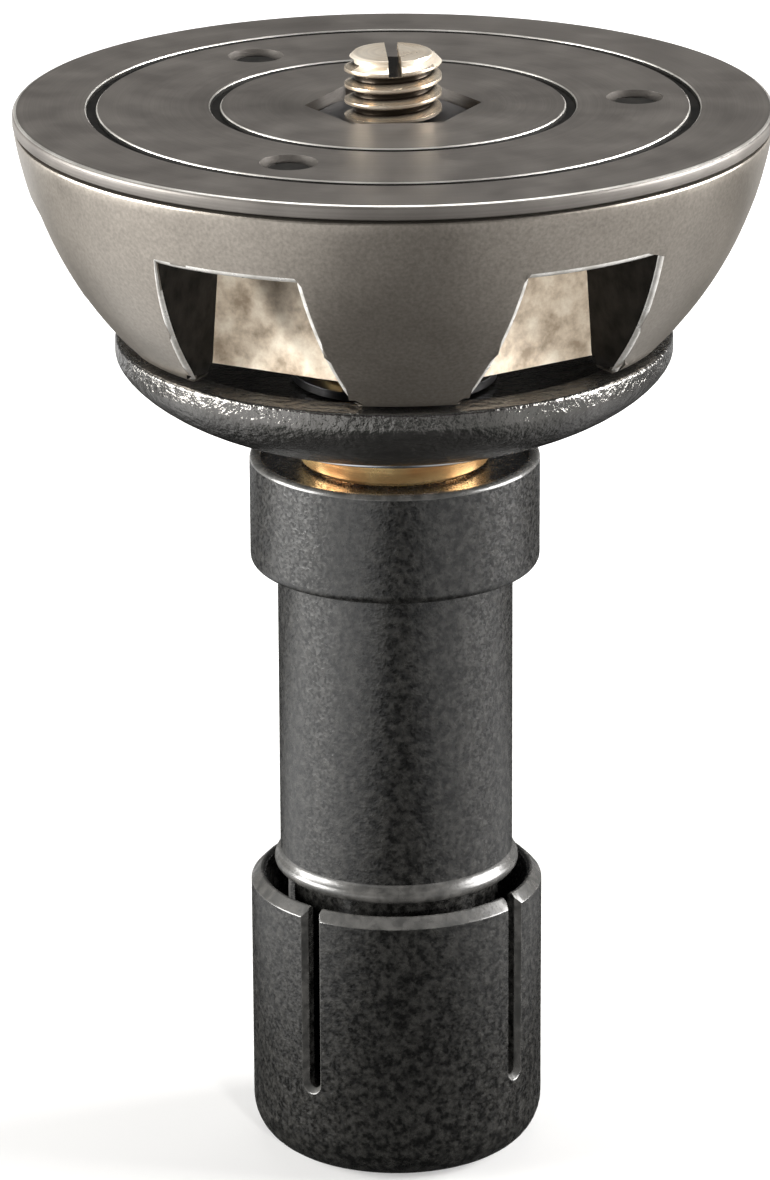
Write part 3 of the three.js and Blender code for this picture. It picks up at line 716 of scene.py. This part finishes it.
# %% Grip cup
GRIP, GRIP_BORE, SOCKET = 14.8, 13.3, 10.7
FOOT, FOOT_RISE = 11.0, 4.4
foot_curve = [
    (
        FOOT + (GRIP - FOOT) * math.sin(math.radians(a)),
        grip_low + FOOT_RISE * (1 - math.cos(math.radians(a))),
    )
    for a in range(0, 91, 9)
]
profile = (
    [(2.8, 4.2), (4.7, 4.2), (4.7, grip_low + 0.4), (5.1, grip_low)]
    + foot_curve
    + arc(GRIP - 0.2, grip_top - 1.05, 0.2, 0, 45, 3)
    + arc(GRIP - 1.05, grip_top - 0.2, 0.2, 45, 90, 3)
    + [(GRIP_BORE + 0.3, grip_top), (GRIP_BORE, grip_top - 0.3)]
    + [(GRIP_BORE, 9.1), (SOCKET, 9.1), (SOCKET, 5.7), (2.8, 5.7)]
)
grip = turn("grip_cup", profile, 112, closed=True)
print("grip profile has", len(profile), "points")

# %% [markdown]
# Four slots in the cup's wall let it give a little. Each ends in a round and
# has a chamfer that catches the light. Both come from one tongue: a short
# cylinder laid across the wall, its upper half pulled up past the rim. For the
# chamfer, the tongue's outer end is made wider, so that it cuts a slope.

# %% Slot cutter
SLOT_AZIMUTH, SLOT_WIDTH, SLOT_END = -39, 1.4, 9.5


def select_where(obj, wanted):
    """Selects, in edit mode, the vertices for which wanted(place) is true."""
    bpy.ops.mesh.select_mode(type="VERT")
    bpy.ops.mesh.select_all(action="DESELECT")
    mesh = bmesh.from_edit_mesh(obj.data)
    for vertex in mesh.verts:
        vertex.select = wanted(vertex.co)
    mesh.select_flush(True)
    bmesh.update_edit_mesh(obj.data)


def slot_tongue(width, outer_width, inner, outer, low, top):
    bpy.ops.object.select_all(action="DESELECT")
    middle = low + SLOT_WIDTH / 2
    bpy.ops.mesh.primitive_cylinder_add(
        vertices=32, radius=width / 2 * MM, depth=(outer - inner) * MM,
        location=(0, -(inner + outer) / 2 * MM, middle * MM), rotation=(math.pi / 2, 0, 0),
    )
    tongue = bpy.context.object
    bpy.ops.object.transform_apply(location=True, rotation=True)
    bpy.ops.object.mode_set(mode="EDIT")
    edge = outer_width / width
    centre = (0, 0, middle * MM)
    select_where(tongue, lambda co: co.y < -(inner + outer) / 2 * MM)
    bpy.ops.transform.resize(value=(edge, 1, edge), center_override=centre)
    select_where(tongue, lambda co: co.z > middle * MM - 1e-7)
    bpy.ops.transform.resize(value=(1, 1, 0), center_override=centre)
    bpy.ops.transform.translate(value=(0, 0, (top - middle) * MM))
    bpy.ops.object.mode_set(mode="OBJECT")
    return tongue


def turned_copy(obj, azimuth):
    """A copy with its own mesh, turned about the object's axis."""
    copy = obj.copy()
    copy.data = obj.data.copy()
    bpy.context.collection.objects.link(copy)
    copy.matrix_world = Matrix.Rotation(math.radians(azimuth), 4, "Z")
    return copy


straight = slot_tongue(SLOT_WIDTH, SLOT_WIDTH, 11.85, GRIP + 1, SLOT_END, grip_top + 1)
sloped = slot_tongue(SLOT_WIDTH, SLOT_WIDTH + 1.5, GRIP - 0.6, GRIP + 0.3, SLOT_END, grip_top + 2)
for i in range(4):
    for tongue in (straight, sloped):
        combine(grip, turned_copy(tongue, SLOT_AZIMUTH + 90 * i))
for tongue in (straight, sloped):
    bpy.data.objects.remove(tongue)
tidy(grip)
soften(grip, 0.22, 3, 34)
dress(grip, "handle", "handle_plastic", handle_plastic, "grip")
# The rim chamfer and the slot edges get the smoother plastic with its painted sheen.
refinish(
    grip, smooth_plastic_sheen,
    lambda centre, normal, radius: (centre.z > grip_top - 1.2 and radius > 13.5 and normal.z > 0.2)
    or (
        radius > GRIP - 0.7 and SLOT_END - 1 < centre.z < grip_top
        and abs(normal.dot(Vector((centre.x, centre.y, 0)).normalized())) < 0.93
    ),
)

# %% [markdown]
# ## The bush, its ring and the thrust washer
#
# The bush is turned from brass bar. Only its flange shows, as a bright band
# between the handle and the dish. The neck above it goes through the dish and
# has a groove for the ring that keeps the dish on.

# %% Brass bush
bush_low, bush_top = heights("brass_bush")
flange_low = tube_top - WELL + 0.3
flange_top = flange_low + 2.9
clip_low, clip_top = heights("dish_circlip")
BUSH, FLANGE = 8.5, 9.4
profile = (
    [(5.3, bush_low + 0.4), (5.7, bush_low), (BUSH - 0.3, bush_low), (BUSH, bush_low + 0.3)]
    + [(BUSH, flange_low)]
    + arc(FLANGE - 0.2, flange_low + 0.2, 0.2, -90, 0, 3)
    + arc(FLANGE - 0.3, flange_top - 0.3, 0.3, 0, 90, 4)
    + [(8, flange_top), (8, clip_low - 0.3), (7.2, clip_low - 0.3), (7.2, clip_top + 0.3)]
    + [(8, clip_top + 0.3), (8, bush_top - 0.3), (7.7, bush_top), (5.7, bush_top), (5.3, bush_top - 0.4)]
)
bush = turn("flanged_bush", profile, 96, closed=True)
soften(bush, 0)
dress(bush, "handle", "bush_brass", brass, "brass_bush")

# %% [markdown]
# Flat rings come as stampings: their edges are slightly rounded. One helper
# makes them all, and the open ring gets its gap and its two plier holes cut out.

# %% Flat rings
def flat_ring(name, inner, outer, low, high, edge, sides=72):
    profile = (
        [(inner, high - edge), (inner, low + edge), (inner + edge, low)]
        + arc(outer - edge, low + edge, edge, -90, 0, 3)
        + arc(outer - edge, high - edge, edge, 0, 90, 3)
        + [(inner + edge, high)]
    )
    return turn(name, profile, sides, closed=True)


def round_tool(radius, low, high, x=0.0, y=0.0, sides=40):
    bpy.ops.object.select_all(action="DESELECT")
    bpy.ops.mesh.primitive_cylinder_add(
        vertices=sides, radius=radius * MM, depth=(high - low) * MM,
        location=(x * MM, y * MM, (low + high) / 2 * MM),
    )
    return bpy.context.object


def block_tool(low, high):
    """A block between two corners, given in mm."""
    size = [b - a for a, b in zip(low, high)]
    middle = [(a + b) / 2 * MM for a, b in zip(low, high)]
    bpy.ops.object.select_all(action="DESELECT")
    bpy.ops.mesh.primitive_cube_add(size=MM)
    block = bpy.context.object
    bpy.ops.object.mode_set(mode="EDIT")
    bpy.ops.transform.resize(value=size, center_override=(0, 0, 0))
    bpy.ops.transform.translate(value=middle)
    bpy.ops.object.mode_set(mode="OBJECT")
    return block


def on_circle(radius, azimuth):
    a = math.radians(azimuth)
    return radius * math.sin(a), -radius * math.cos(a)


thrust_low, thrust_top = heights("thrust_washer")
thrust = flat_ring("thrust_ring", 8.3, 14.0, thrust_low, thrust_top, 0.12, 96)
soften(thrust, 0)
dress(thrust, "clamp_dish", "bright_steel", bright_steel, "thrust_washer")

clip = flat_ring("neck_ring", 7.5, 10.2, clip_low, clip_top, 0.1)
combine(clip, block_tool((-4.5, 0, clip_low - 1), (4.5, 12, clip_top + 1)))
for side in (-1, 1):
    x, y = on_circle(8.85, 180 + side * 40)
    combine(clip, round_tool(0.6, clip_low - 1, clip_top + 1, x, y, 20))
tidy(clip)
soften(clip, 0)
dress(clip, "handle", "dark_steel", dark_steel, "dish_circlip")

# %% [markdown]
# ## The clamp dish
#
# The dish is cast: a flat boss below, a belly that swings out to a short
# upright rim, and a hollow on top for the half ball's hub. Its belly follows a
# curve that starts steep at the boss and ends steep at the rim.

# %% Clamp dish
DISH, BOSS, RIM_HEIGHT, RIM_WIDTH = 27.62, 14.4, 1.6, 3.6
belly_rise = dish_top - dish_low - RIM_HEIGHT
BELLY_POWER = 1.32
belly = []
for i in range(0, 17):
    a = math.pi / 2 * i / 16
    belly.append((
        BOSS + (DISH - BOSS) * math.sin(a) ** BELLY_POWER,
        dish_low + belly_rise * (1 - abs(math.cos(a)) ** BELLY_POWER),
    ))
floor_z = dish_top - 4.9
profile = (
    [(8.3, dish_low + 0.3), (8.6, dish_low)]
    + belly
    + arc(DISH - 0.35, dish_top - 0.35, 0.35, 0, 90, 4)
    + arc(DISH - RIM_WIDTH + 0.4, dish_top - 0.4, 0.4, 90, 145, 3)
    + [(21.02, floor_z + 0.7), (20.62, floor_z + 0.15), (20.02, floor_z)]
    + [(8.6, floor_z), (8.3, floor_z - 0.3)]
)
dish = turn("dish_casting", profile, 128, closed=True)
soften(dish, 0)
dress(dish, "clamp_dish", "dish_paint", dish_paint, "clamp_dish")

# %% [markdown]
# ## The half ball casting
#
# First comes the turned blank: the ball's zone outside, a seat for the plate on
# top, and below it a hub for the rod inside a ring-shaped hollow.

# %% Casting blank
BALL, BALL_CENTRE = 37.5, plate_top + 3.7
PLATE_RIM, SPIGOT = 1.4, 33.0
seat = ball_top
recess = plate_low - 0.3
hub_low = heights("hub_washer")[1] + 0.3
core_low = ball_low + 1.3
roof = plate_top - 9.25


def ball_zone(steps):
    low = math.asin((ball_low - BALL_CENTRE + 0.25) / BALL)
    high = math.asin((ball_top - BALL_CENTRE - 0.3) / BALL)
    angles = [low + (high - low) * i / steps for i in range(steps + 1)]
    return [(BALL * math.cos(a), BALL_CENTRE + BALL * math.sin(a)) for a in angles]


BALL_END = math.sqrt(BALL ** 2 - (BALL_CENTRE - ball_low) ** 2)
profile = (
    [(5.3, hub_low + 0.4), (5.7, hub_low), (9.3, hub_low), (9.54, hub_low + 0.3)]
    + [(10.1, roof - 0.6), (10.5, roof - 0.1), (11.2, roof)]
    + [(15.6, roof), (16.1, roof - 0.15), (16.3, roof - 0.7)]
    + [(17.8, core_low), (BALL_END - 2.4, core_low), (BALL_END - 2.4, ball_low + 0.2)]
    + [(BALL_END - 2.2, ball_low)]
    + [(BALL_END - 0.35, ball_low), (BALL_END - 0.1, ball_low + 0.08)]
    + ball_zone(24)
    + [(36.95, seat - 0.08), (36.7, seat), (SPIGOT + 0.3, seat), (SPIGOT + 0.3, recess), (5.3, recess)]
)
casting = turn("half_ball", profile, 120, closed=True)
print("ball ends at radius", round(BALL_END, 2), "mm")

# %% [markdown]
# The six pockets leave six fingers. The cutter starts as a plane at the
# pocket's ceiling and is extruded down in steps, a little wider each time. Near
# the mouth it flares in a curve, which gives the fingers their round tips.

# %% Pockets
POCKET_FLOOR, POCKET_CEILING = 22.2, 8.25
POCKET_TOP, POCKET_WAIST, POCKET_MOUTH = 14.7, 16.4, 18.0
ceiling_z = plate_top - POCKET_CEILING
FLARE_HEIGHT = 3.2
waist_z = ball_low + FLARE_HEIGHT
flare = [(ceiling_z, POCKET_TOP), (waist_z, POCKET_WAIST)]
for i in range(1, 7):
    a = math.radians(15 * i)
    width = POCKET_WAIST + (POCKET_MOUTH - POCKET_WAIST) * (1 - math.cos(a))
    flare.append((waist_z - FLARE_HEIGHT * math.sin(a), width))
flare.append((ball_low - 1.5, POCKET_MOUTH + 1.6))


def pocket_tool():
    outer = BALL + 2
    bpy.ops.object.select_all(action="DESELECT")
    bpy.ops.mesh.primitive_plane_add(size=1, location=(0, 0, 0))
    tool = bpy.context.object
    bpy.ops.object.mode_set(mode="EDIT")
    z, width = flare[0]
    bpy.ops.transform.resize(value=(width * MM, (outer - POCKET_FLOOR) * MM, 1), center_override=(0, 0, 0))
    bpy.ops.transform.translate(value=(0, -(outer + POCKET_FLOOR) / 2 * MM, z * MM))
    for next_z, next_width in flare[1:]:
        bpy.ops.mesh.extrude_region_move(TRANSFORM_OT_translate={"value": (0, 0, (next_z - z) * MM)})
        bpy.ops.transform.resize(value=(next_width / width, 1, 1), center_override=(0, 0, next_z * MM))
        z, width = next_z, next_width
    bpy.ops.mesh.select_all(action="SELECT")
    bpy.ops.mesh.normals_make_consistent(inside=False)
    bpy.ops.object.mode_set(mode="OBJECT")
    return tool


tool = pocket_tool()
for i in range(6):
    combine(casting, turned_copy(tool, 30 + 60 * i))
bpy.data.objects.remove(tool)
print("pockets cut,", len(casting.data.polygons), "faces")

# %% [markdown]
# Three of the pockets have a screw in their ceiling that holds the plate, in a
# counterbore. The other three pockets have a threaded hole for a set screw. The
# bevel then rounds every edge the cutters left.

# %% Screw holes and edges of the casting
SET_CIRCLE, SET_AZIMUTH = 23.8, -27.5
PLATE_CIRCLE, PLATE_AZIMUTH = 27.0, 30.0
for i in range(3):
    x, y = on_circle(SET_CIRCLE, SET_AZIMUTH + 120 * i)
    combine(casting, round_tool(2.8, ceiling_z - 1, recess + 1, x, y, 32))
    x, y = on_circle(PLATE_CIRCLE, PLATE_AZIMUTH + 120 * i)
    combine(casting, round_tool(3.7, ceiling_z - 1, ceiling_z + 2.6, x, y, 36))
    combine(casting, round_tool(2.3, ceiling_z, recess + 1, x, y, 28))
tidy(casting, 0.05)


MOUTH_BEVEL, SHORT_EDGE = 0.6, 0.3


def pick_mouth_edges(obj):
    """Selects the sharp edges where the pockets come out of the ball."""
    middle = Vector((0, 0, BALL_CENTRE))
    bpy.ops.mesh.select_mode(type="EDGE")
    bpy.ops.mesh.select_all(action="DESELECT")
    mesh = bmesh.from_edit_mesh(obj.data)
    count = 0
    for edge in mesh.edges:
        sharp = edge.is_manifold and edge.calc_face_angle() > math.radians(30)
        outside = all(abs((v.co / MM - middle).length - BALL) < 0.2 for v in edge.verts)
        low = all(ball_low + 0.1 < v.co.z / MM < ceiling_z + 3 for v in edge.verts)
        edge.select = sharp and outside and low
        count += edge.select
    loose = [v for v in mesh.verts if sum(e.select for e in v.link_edges) == 1]
    print(count, "mouth edges with", len(loose), "ends")
    bmesh.update_edit_mesh(obj.data)


def round_mouths(obj):
    """Short edges are merged first, because a bevel pinches at them."""
    only(obj)
    bpy.ops.object.mode_set(mode="EDIT")
    pick_mouth_edges(obj)
    bpy.ops.mesh.select_mode(type="VERT")
    bpy.ops.mesh.remove_doubles(threshold=SHORT_EDGE * MM)
    pick_mouth_edges(obj)
    bpy.ops.mesh.bevel(
        offset=MOUTH_BEVEL * MM, segments=4, profile=0.5, affect="EDGES", clamp_overlap=False
    )
    bpy.ops.object.mode_set(mode="OBJECT")


round_mouths(casting)
soften(casting, 0.2, 2, 40)
dress(casting, "half_ball", "ball_paint", ball_paint, "half_ball_casting")

# %% [markdown]
# Paint hardly reaches into the pockets, so their upright floors keep a thin,
# blotchy coat. Their side walls lie in deep shade, which is painted on them as
# a near-black finish. These faces are found by their place: a floor faces
# outwards at the pocket's depth, a wall faces sideways.

# %% Finishes inside the pockets
def in_pocket(kind):
    def wanted(centre, normal, radius):
        if centre.z > ceiling_z + 0.2 or radius < POCKET_FLOOR - 0.3:
            return False
        under_skin = (centre - Vector((0, 0, BALL_CENTRE))).length < BALL - 0.45
        for i in range(6):
            x, y = on_circle(1, 30 + 60 * i)
            out, side = Vector((x, y, 0)), Vector((-y, x, 0))
            if abs(centre.dot(side)) > 11 or centre.dot(out) < POCKET_FLOOR - 0.1:
                continue
            if kind == "floor":
                return normal.dot(out) > 0.99 and centre.dot(out) < POCKET_FLOOR + 0.1
            return abs(normal.dot(side)) > 0.9 and under_skin
        return False
    return wanted


def mouth_round(centre, normal, radius):
    away = centre - Vector((0, 0, BALL_CENTRE))
    if centre.z > ceiling_z + 1.2 or centre.z < ball_low + 0.6 or away.length < BALL - 0.6:
        return False
    return 0.3 < normal.dot(away.normalized()) < 0.985


refinish(casting, pocket_paint, in_pocket("floor"))
# The pocket side walls get painted shade.
refinish(casting, painted_shade, in_pocket("wall"))
# The rounded pocket mouths get a painted highlight.
refinish(casting, edge_highlight, mouth_round)

# %% [markdown]
# ## The top plate
#
# The plate is turned from bar: a face with two round grooves, a thin rim and a
# spigot that centres it in the casting. A hexagonal hole holds the stud's base.
# The grooves have small chamfers, because each one shows as a light line.

# %% Top plate
PLATE = 37.2
OUTER_GROOVE, INNER_GROOVE, GROOVE_CHAMFER = 29.5, 17.4, 0.12


def groove(radius):
    return [
        (radius + 0.62, plate_top), (radius + 0.5, plate_top - GROOVE_CHAMFER),
        (radius + 0.42, plate_top - 0.5),
        (radius - 0.42, plate_top - 0.5), (radius - 0.5, plate_top - GROOVE_CHAMFER),
        (radius - 0.62, plate_top),
    ]


profile = (
    [(0, plate_low), (SPIGOT - 0.2, plate_low), (SPIGOT, plate_low + 0.2), (SPIGOT, plate_top - PLATE_RIM)]
    + [(PLATE - 0.2, plate_top - PLATE_RIM), (PLATE, plate_top - PLATE_RIM + 0.2)]
    + arc(PLATE - 0.4, plate_top - 0.4, 0.4, 0, 90, 4)
    + groove(OUTER_GROOVE) + groove(INNER_GROOVE) + [(0, plate_top)]
)
plate = turn("top_disc", profile, 144)


def hex_tool(flats, low, high):
    """A six-sided bar with two of its corners on the X axis."""
    bpy.ops.object.select_all(action="DESELECT")
    bpy.ops.mesh.primitive_cylinder_add(
        vertices=6, radius=flats / 2 / math.cos(math.pi / 6) * MM, depth=(high - low) * MM,
        location=(0, 0, (low + high) / 2 * MM), rotation=(0, 0, math.pi / 6),
    )
    bpy.ops.object.transform_apply(location=True, rotation=True)
    return bpy.context.object


STUD_HEX = 14.4
combine(plate, hex_tool(STUD_HEX + 0.6, plate_low - 1, plate_top + 1))
for i in range(3):
    x, y = on_circle(SET_CIRCLE, SET_AZIMUTH + 120 * i)
    combine(plate, round_tool(2.8, plate_low - 1, plate_top + 1, x, y, 40))
    x, y = on_circle(PLATE_CIRCLE, PLATE_AZIMUTH + 120 * i)
    combine(plate, round_tool(2.3, plate_low - 1, plate_low + 2, x, y, 28))
tidy(plate)
soften(plate, 0.15, 2, 50)
dress(plate, "half_ball", "plate_paint", plate_coat, "top_plate")
chamfer_end = plate_top - GROOVE_CHAMFER - 0.01


def in_groove(centre, normal, radius):
    return centre.z < chamfer_end and min(abs(radius - OUTER_GROOVE), abs(radius - INNER_GROOVE)) < 0.7


def on_chamfer(centre, normal, radius):
    return chamfer_end < centre.z < plate_top - 0.01 and 0.3 < normal.z < 0.99


# The groove floors get painted shade.
refinish(plate, painted_shade, in_groove)
# The groove chamfers get a painted highlight.
refinish(plate, chamfer_highlight, on_chamfer)

# %% [markdown]
# ## Threads
#
# A thread is one tooth that winds round a core. The Screw modifier winds a
# small trapezoid up the axis by one pitch in each turn. The tooth is joined to
# the core, and the part outside a turned envelope is cut away, which gives the
# thread its chamfered start.

# %% Threaded bars
def wind_tooth(major, minor, pitch, low, high, steps):
    sunk = minor - (major - minor) * 0.25
    depth = major - sunk
    foot, crest = pitch * 0.88, pitch * 0.2
    bpy.ops.object.select_all(action="DESELECT")
    bpy.ops.mesh.primitive_plane_add(size=depth * MM, rotation=(math.pi / 2, 0, 0))
    tooth = bpy.context.object
    bpy.ops.object.transform_apply(rotation=True)
    bpy.ops.object.mode_set(mode="EDIT")
    select_where(tooth, lambda co: co.x > 0)
    bpy.ops.transform.resize(value=(1, 1, crest / depth), center_override=(0, 0, 0))
    select_where(tooth, lambda co: co.x < 0)
    bpy.ops.transform.resize(value=(1, 1, foot / depth), center_override=(0, 0, 0))
    bpy.ops.mesh.select_all(action="SELECT")
    bpy.ops.transform.translate(value=((sunk + major) / 2 * MM, 0, low * MM))
    bpy.ops.object.mode_set(mode="OBJECT")
    turns = math.ceil((high - low) / pitch)
    apply_modifier(
        tooth, "SCREW", axis="Z", angle=FULL_TURN, screw_offset=pitch * MM, iterations=turns,
        steps=steps, render_steps=steps, use_smooth_shade=False,
    )
    bpy.ops.object.mode_set(mode="EDIT")
    bpy.ops.mesh.select_all(action="SELECT")
    bpy.ops.mesh.fill_holes(sides=4)
    bpy.ops.mesh.normals_make_consistent(inside=False)
    bpy.ops.object.mode_set(mode="OBJECT")
    return tooth


def threaded_bar(name, major, pitch, low, high, chamfer_low, chamfer_high, steps=32):
    minor = major - pitch * 0.6
    bar = round_tool(minor, low, high, sides=steps)
    bar.name = name
    combine(bar, wind_tooth(major, minor, pitch, low - 1.2 * pitch, high + 1.2 * pitch, steps), "UNION")
    profile = [
        (0, low), (major - chamfer_low, low), (major + 0.02, low + chamfer_low + 0.02),
        (major + 0.02, high - chamfer_high - 0.02), (major - chamfer_high, high), (0, high),
    ]
    combine(bar, turn("envelope", profile, 64), "INTERSECT")
    only(bar)
    bpy.ops.object.transform_apply(location=True)
    return bar


print("thread helpers ready")

# %% [markdown]
# ## The stud
#
# The head screws on this stud. Its hexagonal base can't turn in the plate, its
# top has a slot for a driver, and its shank goes down into the casting's hub.

# %% Head stud
INCH = 25.4
STUD_RADIUS, STUD_PITCH = 3 / 8 * INCH / 2, INCH / 16
stud_low, stud_top = heights("head_stud")
hex_top = plate_top - 1.1
stud = threaded_bar("slotted_stud", STUD_RADIUS, STUD_PITCH, hex_top - 0.5, stud_top, 0, 0.9, 48)
base = hex_tool(STUD_HEX, plate_low, hex_top)
dome = turn(
    "dome", [(0, plate_low - 1), (9, plate_low - 1), (9, hex_top - 0.9), (7.4, hex_top), (0, hex_top)], 64
)
combine(base, dome, "INTERSECT")
combine(stud, base, "UNION")
combine(stud, round_tool(5, stud_low, plate_low + 0.5, sides=48), "UNION")
combine(stud, block_tool((-0.65, -6, stud_top - 1.5), (0.65, 6, stud_top + 1)))
tidy(stud, 0.015)
soften(stud, 0.06, 2, 40)
dress(stud, "half_ball", "stud_steel", stud_plating, "head_stud")
# The hex base, sunk in the plate's hole, gets the dark finish as painted shade.
refinish(stud, dark_steel, lambda centre, normal, radius: centre.z < hex_top + 0.05)
# The stud's top end gets a painted highlight.
refinish(stud, stud_end_highlight, lambda centre, normal, radius: centre.z > stud_top - 1.0 and radius < 4.6)

# %% [markdown]
# ## Small screws
#
# Each kind of screw is modelled once, on the axis, and then copied to its
# places. A set screw has a cup point, which bites into the head's base, and a
# hexagonal socket at the other end.

# %% Set screws
def hollow_cone(radius, depth, z):
    profile = [(0, z - depth), (radius, z), (radius, z + 1), (0, z + 1)]
    return turn("cup", profile, 32)


def place_copies(master, names, radius, azimuth, bodies, slot_name, material, nodes, painted_light_finishes=()):
    """painted_light_finishes are further finishes of painted highlight and shade, each with a test of a
    face's place from the screw's axis.
    """
    for i, name in enumerate(names):
        copy = turned_copy(master, azimuth + 120 * i)
        x, y = on_circle(radius, azimuth + 120 * i)
        copy.matrix_world = Matrix.Translation((x * MM, y * MM, 0)) @ copy.matrix_world
        only(copy)
        bpy.ops.object.transform_apply(location=True, rotation=True)
        copy.name = name
        dress(copy, bodies[i], slot_name, material, nodes[i])
        for finish, wanted in painted_light_finishes:
            refinish(copy, finish, lambda centre, normal, away: wanted(centre - Vector((x, y, 0))))
    bpy.data.objects.remove(master)


RIM_INSIDE, RIM_OUTSIDE, RIM_DEPTH = 1.2, 2.1, 0.9


def on_rim(place):
    return place.z > set_high - RIM_DEPTH and RIM_INSIDE < math.hypot(place.x, place.y) < RIM_OUTSIDE


def off_rim(place):
    return not RIM_INSIDE <= math.hypot(place.x, place.y) <= RIM_OUTSIDE


set_low, set_high = heights("set_screw_1")
master = threaded_bar("set screw", 2.5, 0.8, set_low, set_high, 0.25, 0.5, 24)
combine(master, hex_tool(2.5, set_low - 1, set_low + 2.4))
combine(master, hollow_cone(1.55, 0.75, set_high))
tidy(master)
soften(master, 0.04, 1, 40)
set_names = ["set_screw_1", "set_screw_2", "set_screw_3"]
# The cup's rim gets a painted highlight, and the rest of the screw's end, deep in its hole, gets painted
# shade.
place_copies(
    master, ["cup_screw_1", "cup_screw_2", "cup_screw_3"], SET_CIRCLE, SET_AZIMUTH,
    set_names, "bright_steel", bright_steel, set_names,
    [(rim_highlight, on_rim), (painted_shade, off_rim)],
)

# %% Screws that hold the plate
screw_low, screw_high = heights("plate_screw_1")
under_head = screw_low + 2.0
master = threaded_bar("plate screw", 2, 0.7, under_head - 0.5, screw_high, 0, 0.5, 20)
head = turn(
    "head",
    [
        (0, screw_low), (3.1, screw_low), (3.4, screw_low + 0.3), (3.4, under_head - 0.15),
        (3.25, under_head), (0, under_head),
    ],
    48,
)
combine(master, head, "UNION")
combine(master, hex_tool(2.5, screw_low - 1, screw_low + 1.1))
tidy(master)
soften(master, 0.04, 1, 40)
plate_nodes = ["plate_screw_1", "plate_screw_2", "plate_screw_3"]
place_copies(
    master, ["socket_screw_1", "socket_screw_2", "socket_screw_3"], PLATE_CIRCLE, PLATE_AZIMUTH,
    ["half_ball"] * 3, "dark_steel", dark_steel, plate_nodes,
)

# %% [markdown]
# ## The draw rod and its lock nut
#
# These show when the dish is lowered. The rod is threaded over its whole
# length. A nut's corners are cut back to a cone on both faces, so the six-sided
# bar is cut to the shape that it shares with a turned form.

# %% Draw rod, washer and lock nut
rod_low, rod_high = heights("draw_rod")
rod = threaded_bar("threaded_rod", 5, 1.5, rod_low, rod_high, 0.8, 0.8, 32)
combine(rod, round_tool(2.8, rod_low - 1, rod_low + 7.6, sides=28))
tidy(rod)
soften(rod, 0)
dress(rod, "half_ball", "bright_steel", bright_steel, "draw_rod")

washer_low, washer_high = heights("hub_washer")
washer = flat_ring("hub_ring", 5.3, 9.0, washer_low, washer_high, 0.15)
soften(washer, 0)
dress(washer, "half_ball", "bright_steel", bright_steel, "hub_washer")

nut_low, nut_high = heights("hub_lock_nut")
nut = hex_tool(16, nut_low, nut_high)
nut.name = "lock_nut"
cone = turn(
    "cone",
    [
        (0, nut_low), (7.9, nut_low), (9.6, nut_low + 0.9), (9.6, nut_high - 0.9), (7.9, nut_high),
        (0, nut_high),
    ],
    72,
)
combine(nut, cone, "INTERSECT")
bore = turn(
    "bore",
    [
        (0, nut_low - 0.5), (6.3, nut_low - 0.5), (5.3, nut_low + 0.5), (5.3, nut_high - 0.5),
        (6.3, nut_high + 0.5), (0, nut_high + 0.5),
    ],
    48,
)
combine(nut, bore)
tidy(nut)
soften(nut, 0.1, 2, 25)
dress(nut, "half_ball", "dark_steel", dark_steel, "hub_lock_nut")

# %% [markdown]
# ## Under the foot
#
# The grip's foot has a recess with a washer and a socket screw. They show only
# from below, but a part that is picked up shows its underside.

# %% Grip screw and washer
foot_washer_low, foot_washer_high = heights("grip_washer")
foot_washer = flat_ring("foot_ring", 2.8, 4.4, foot_washer_low, foot_washer_high, 0.1, 48)
soften(foot_washer, 0)
dress(foot_washer, "handle", "bright_steel", bright_steel, "grip_washer")

foot_low, foot_high = heights("grip_screw")
neck = foot_low + 2.4
foot_screw = threaded_bar("foot_screw", 2.5, 0.8, neck - 0.5, foot_high, 0, 0.8, 24)
head = turn(
    "head",
    [(0, foot_low), (3.8, foot_low), (4.2, foot_low + 0.4), (4.2, neck - 0.1), (4.1, neck), (0, neck)],
    56,
)
combine(foot_screw, head, "UNION")
combine(foot_screw, hex_tool(3, foot_low - 1, foot_low + 1.3))
tidy(foot_screw)
soften(foot_screw, 0.05, 1, 40)
dress(foot_screw, "handle", "dark_steel", dark_steel, "grip_screw")

# %% [markdown]
# ## Pieces that keep their CAD solid
#
# The insert, the stop washer and the stop screw are closed in by the handle, so
# their solids are right as they are. They only take the finishes.

# %% Finish the carried-over pieces
slot_of_node = {row["node"]: row["material_slot"] for row in frame["record"]["subparts"]}
finish_of_slot = {
    "ball_paint": ball_paint, "plate_paint": plate_coat, "dish_paint": dish_paint,
    "stud_steel": stud_plating, "bright_steel": bright_steel, "dark_steel": dark_steel,
    "bush_brass": brass, "handle_plastic": handle_plastic,
}
for name, node in frame["nodes"].items():
    node.data.materials.clear()
    node.data.materials.append(finish_of_slot[slot_of_node[name]])
    if not node.hide_render:
        print("keeps its solid:", name)
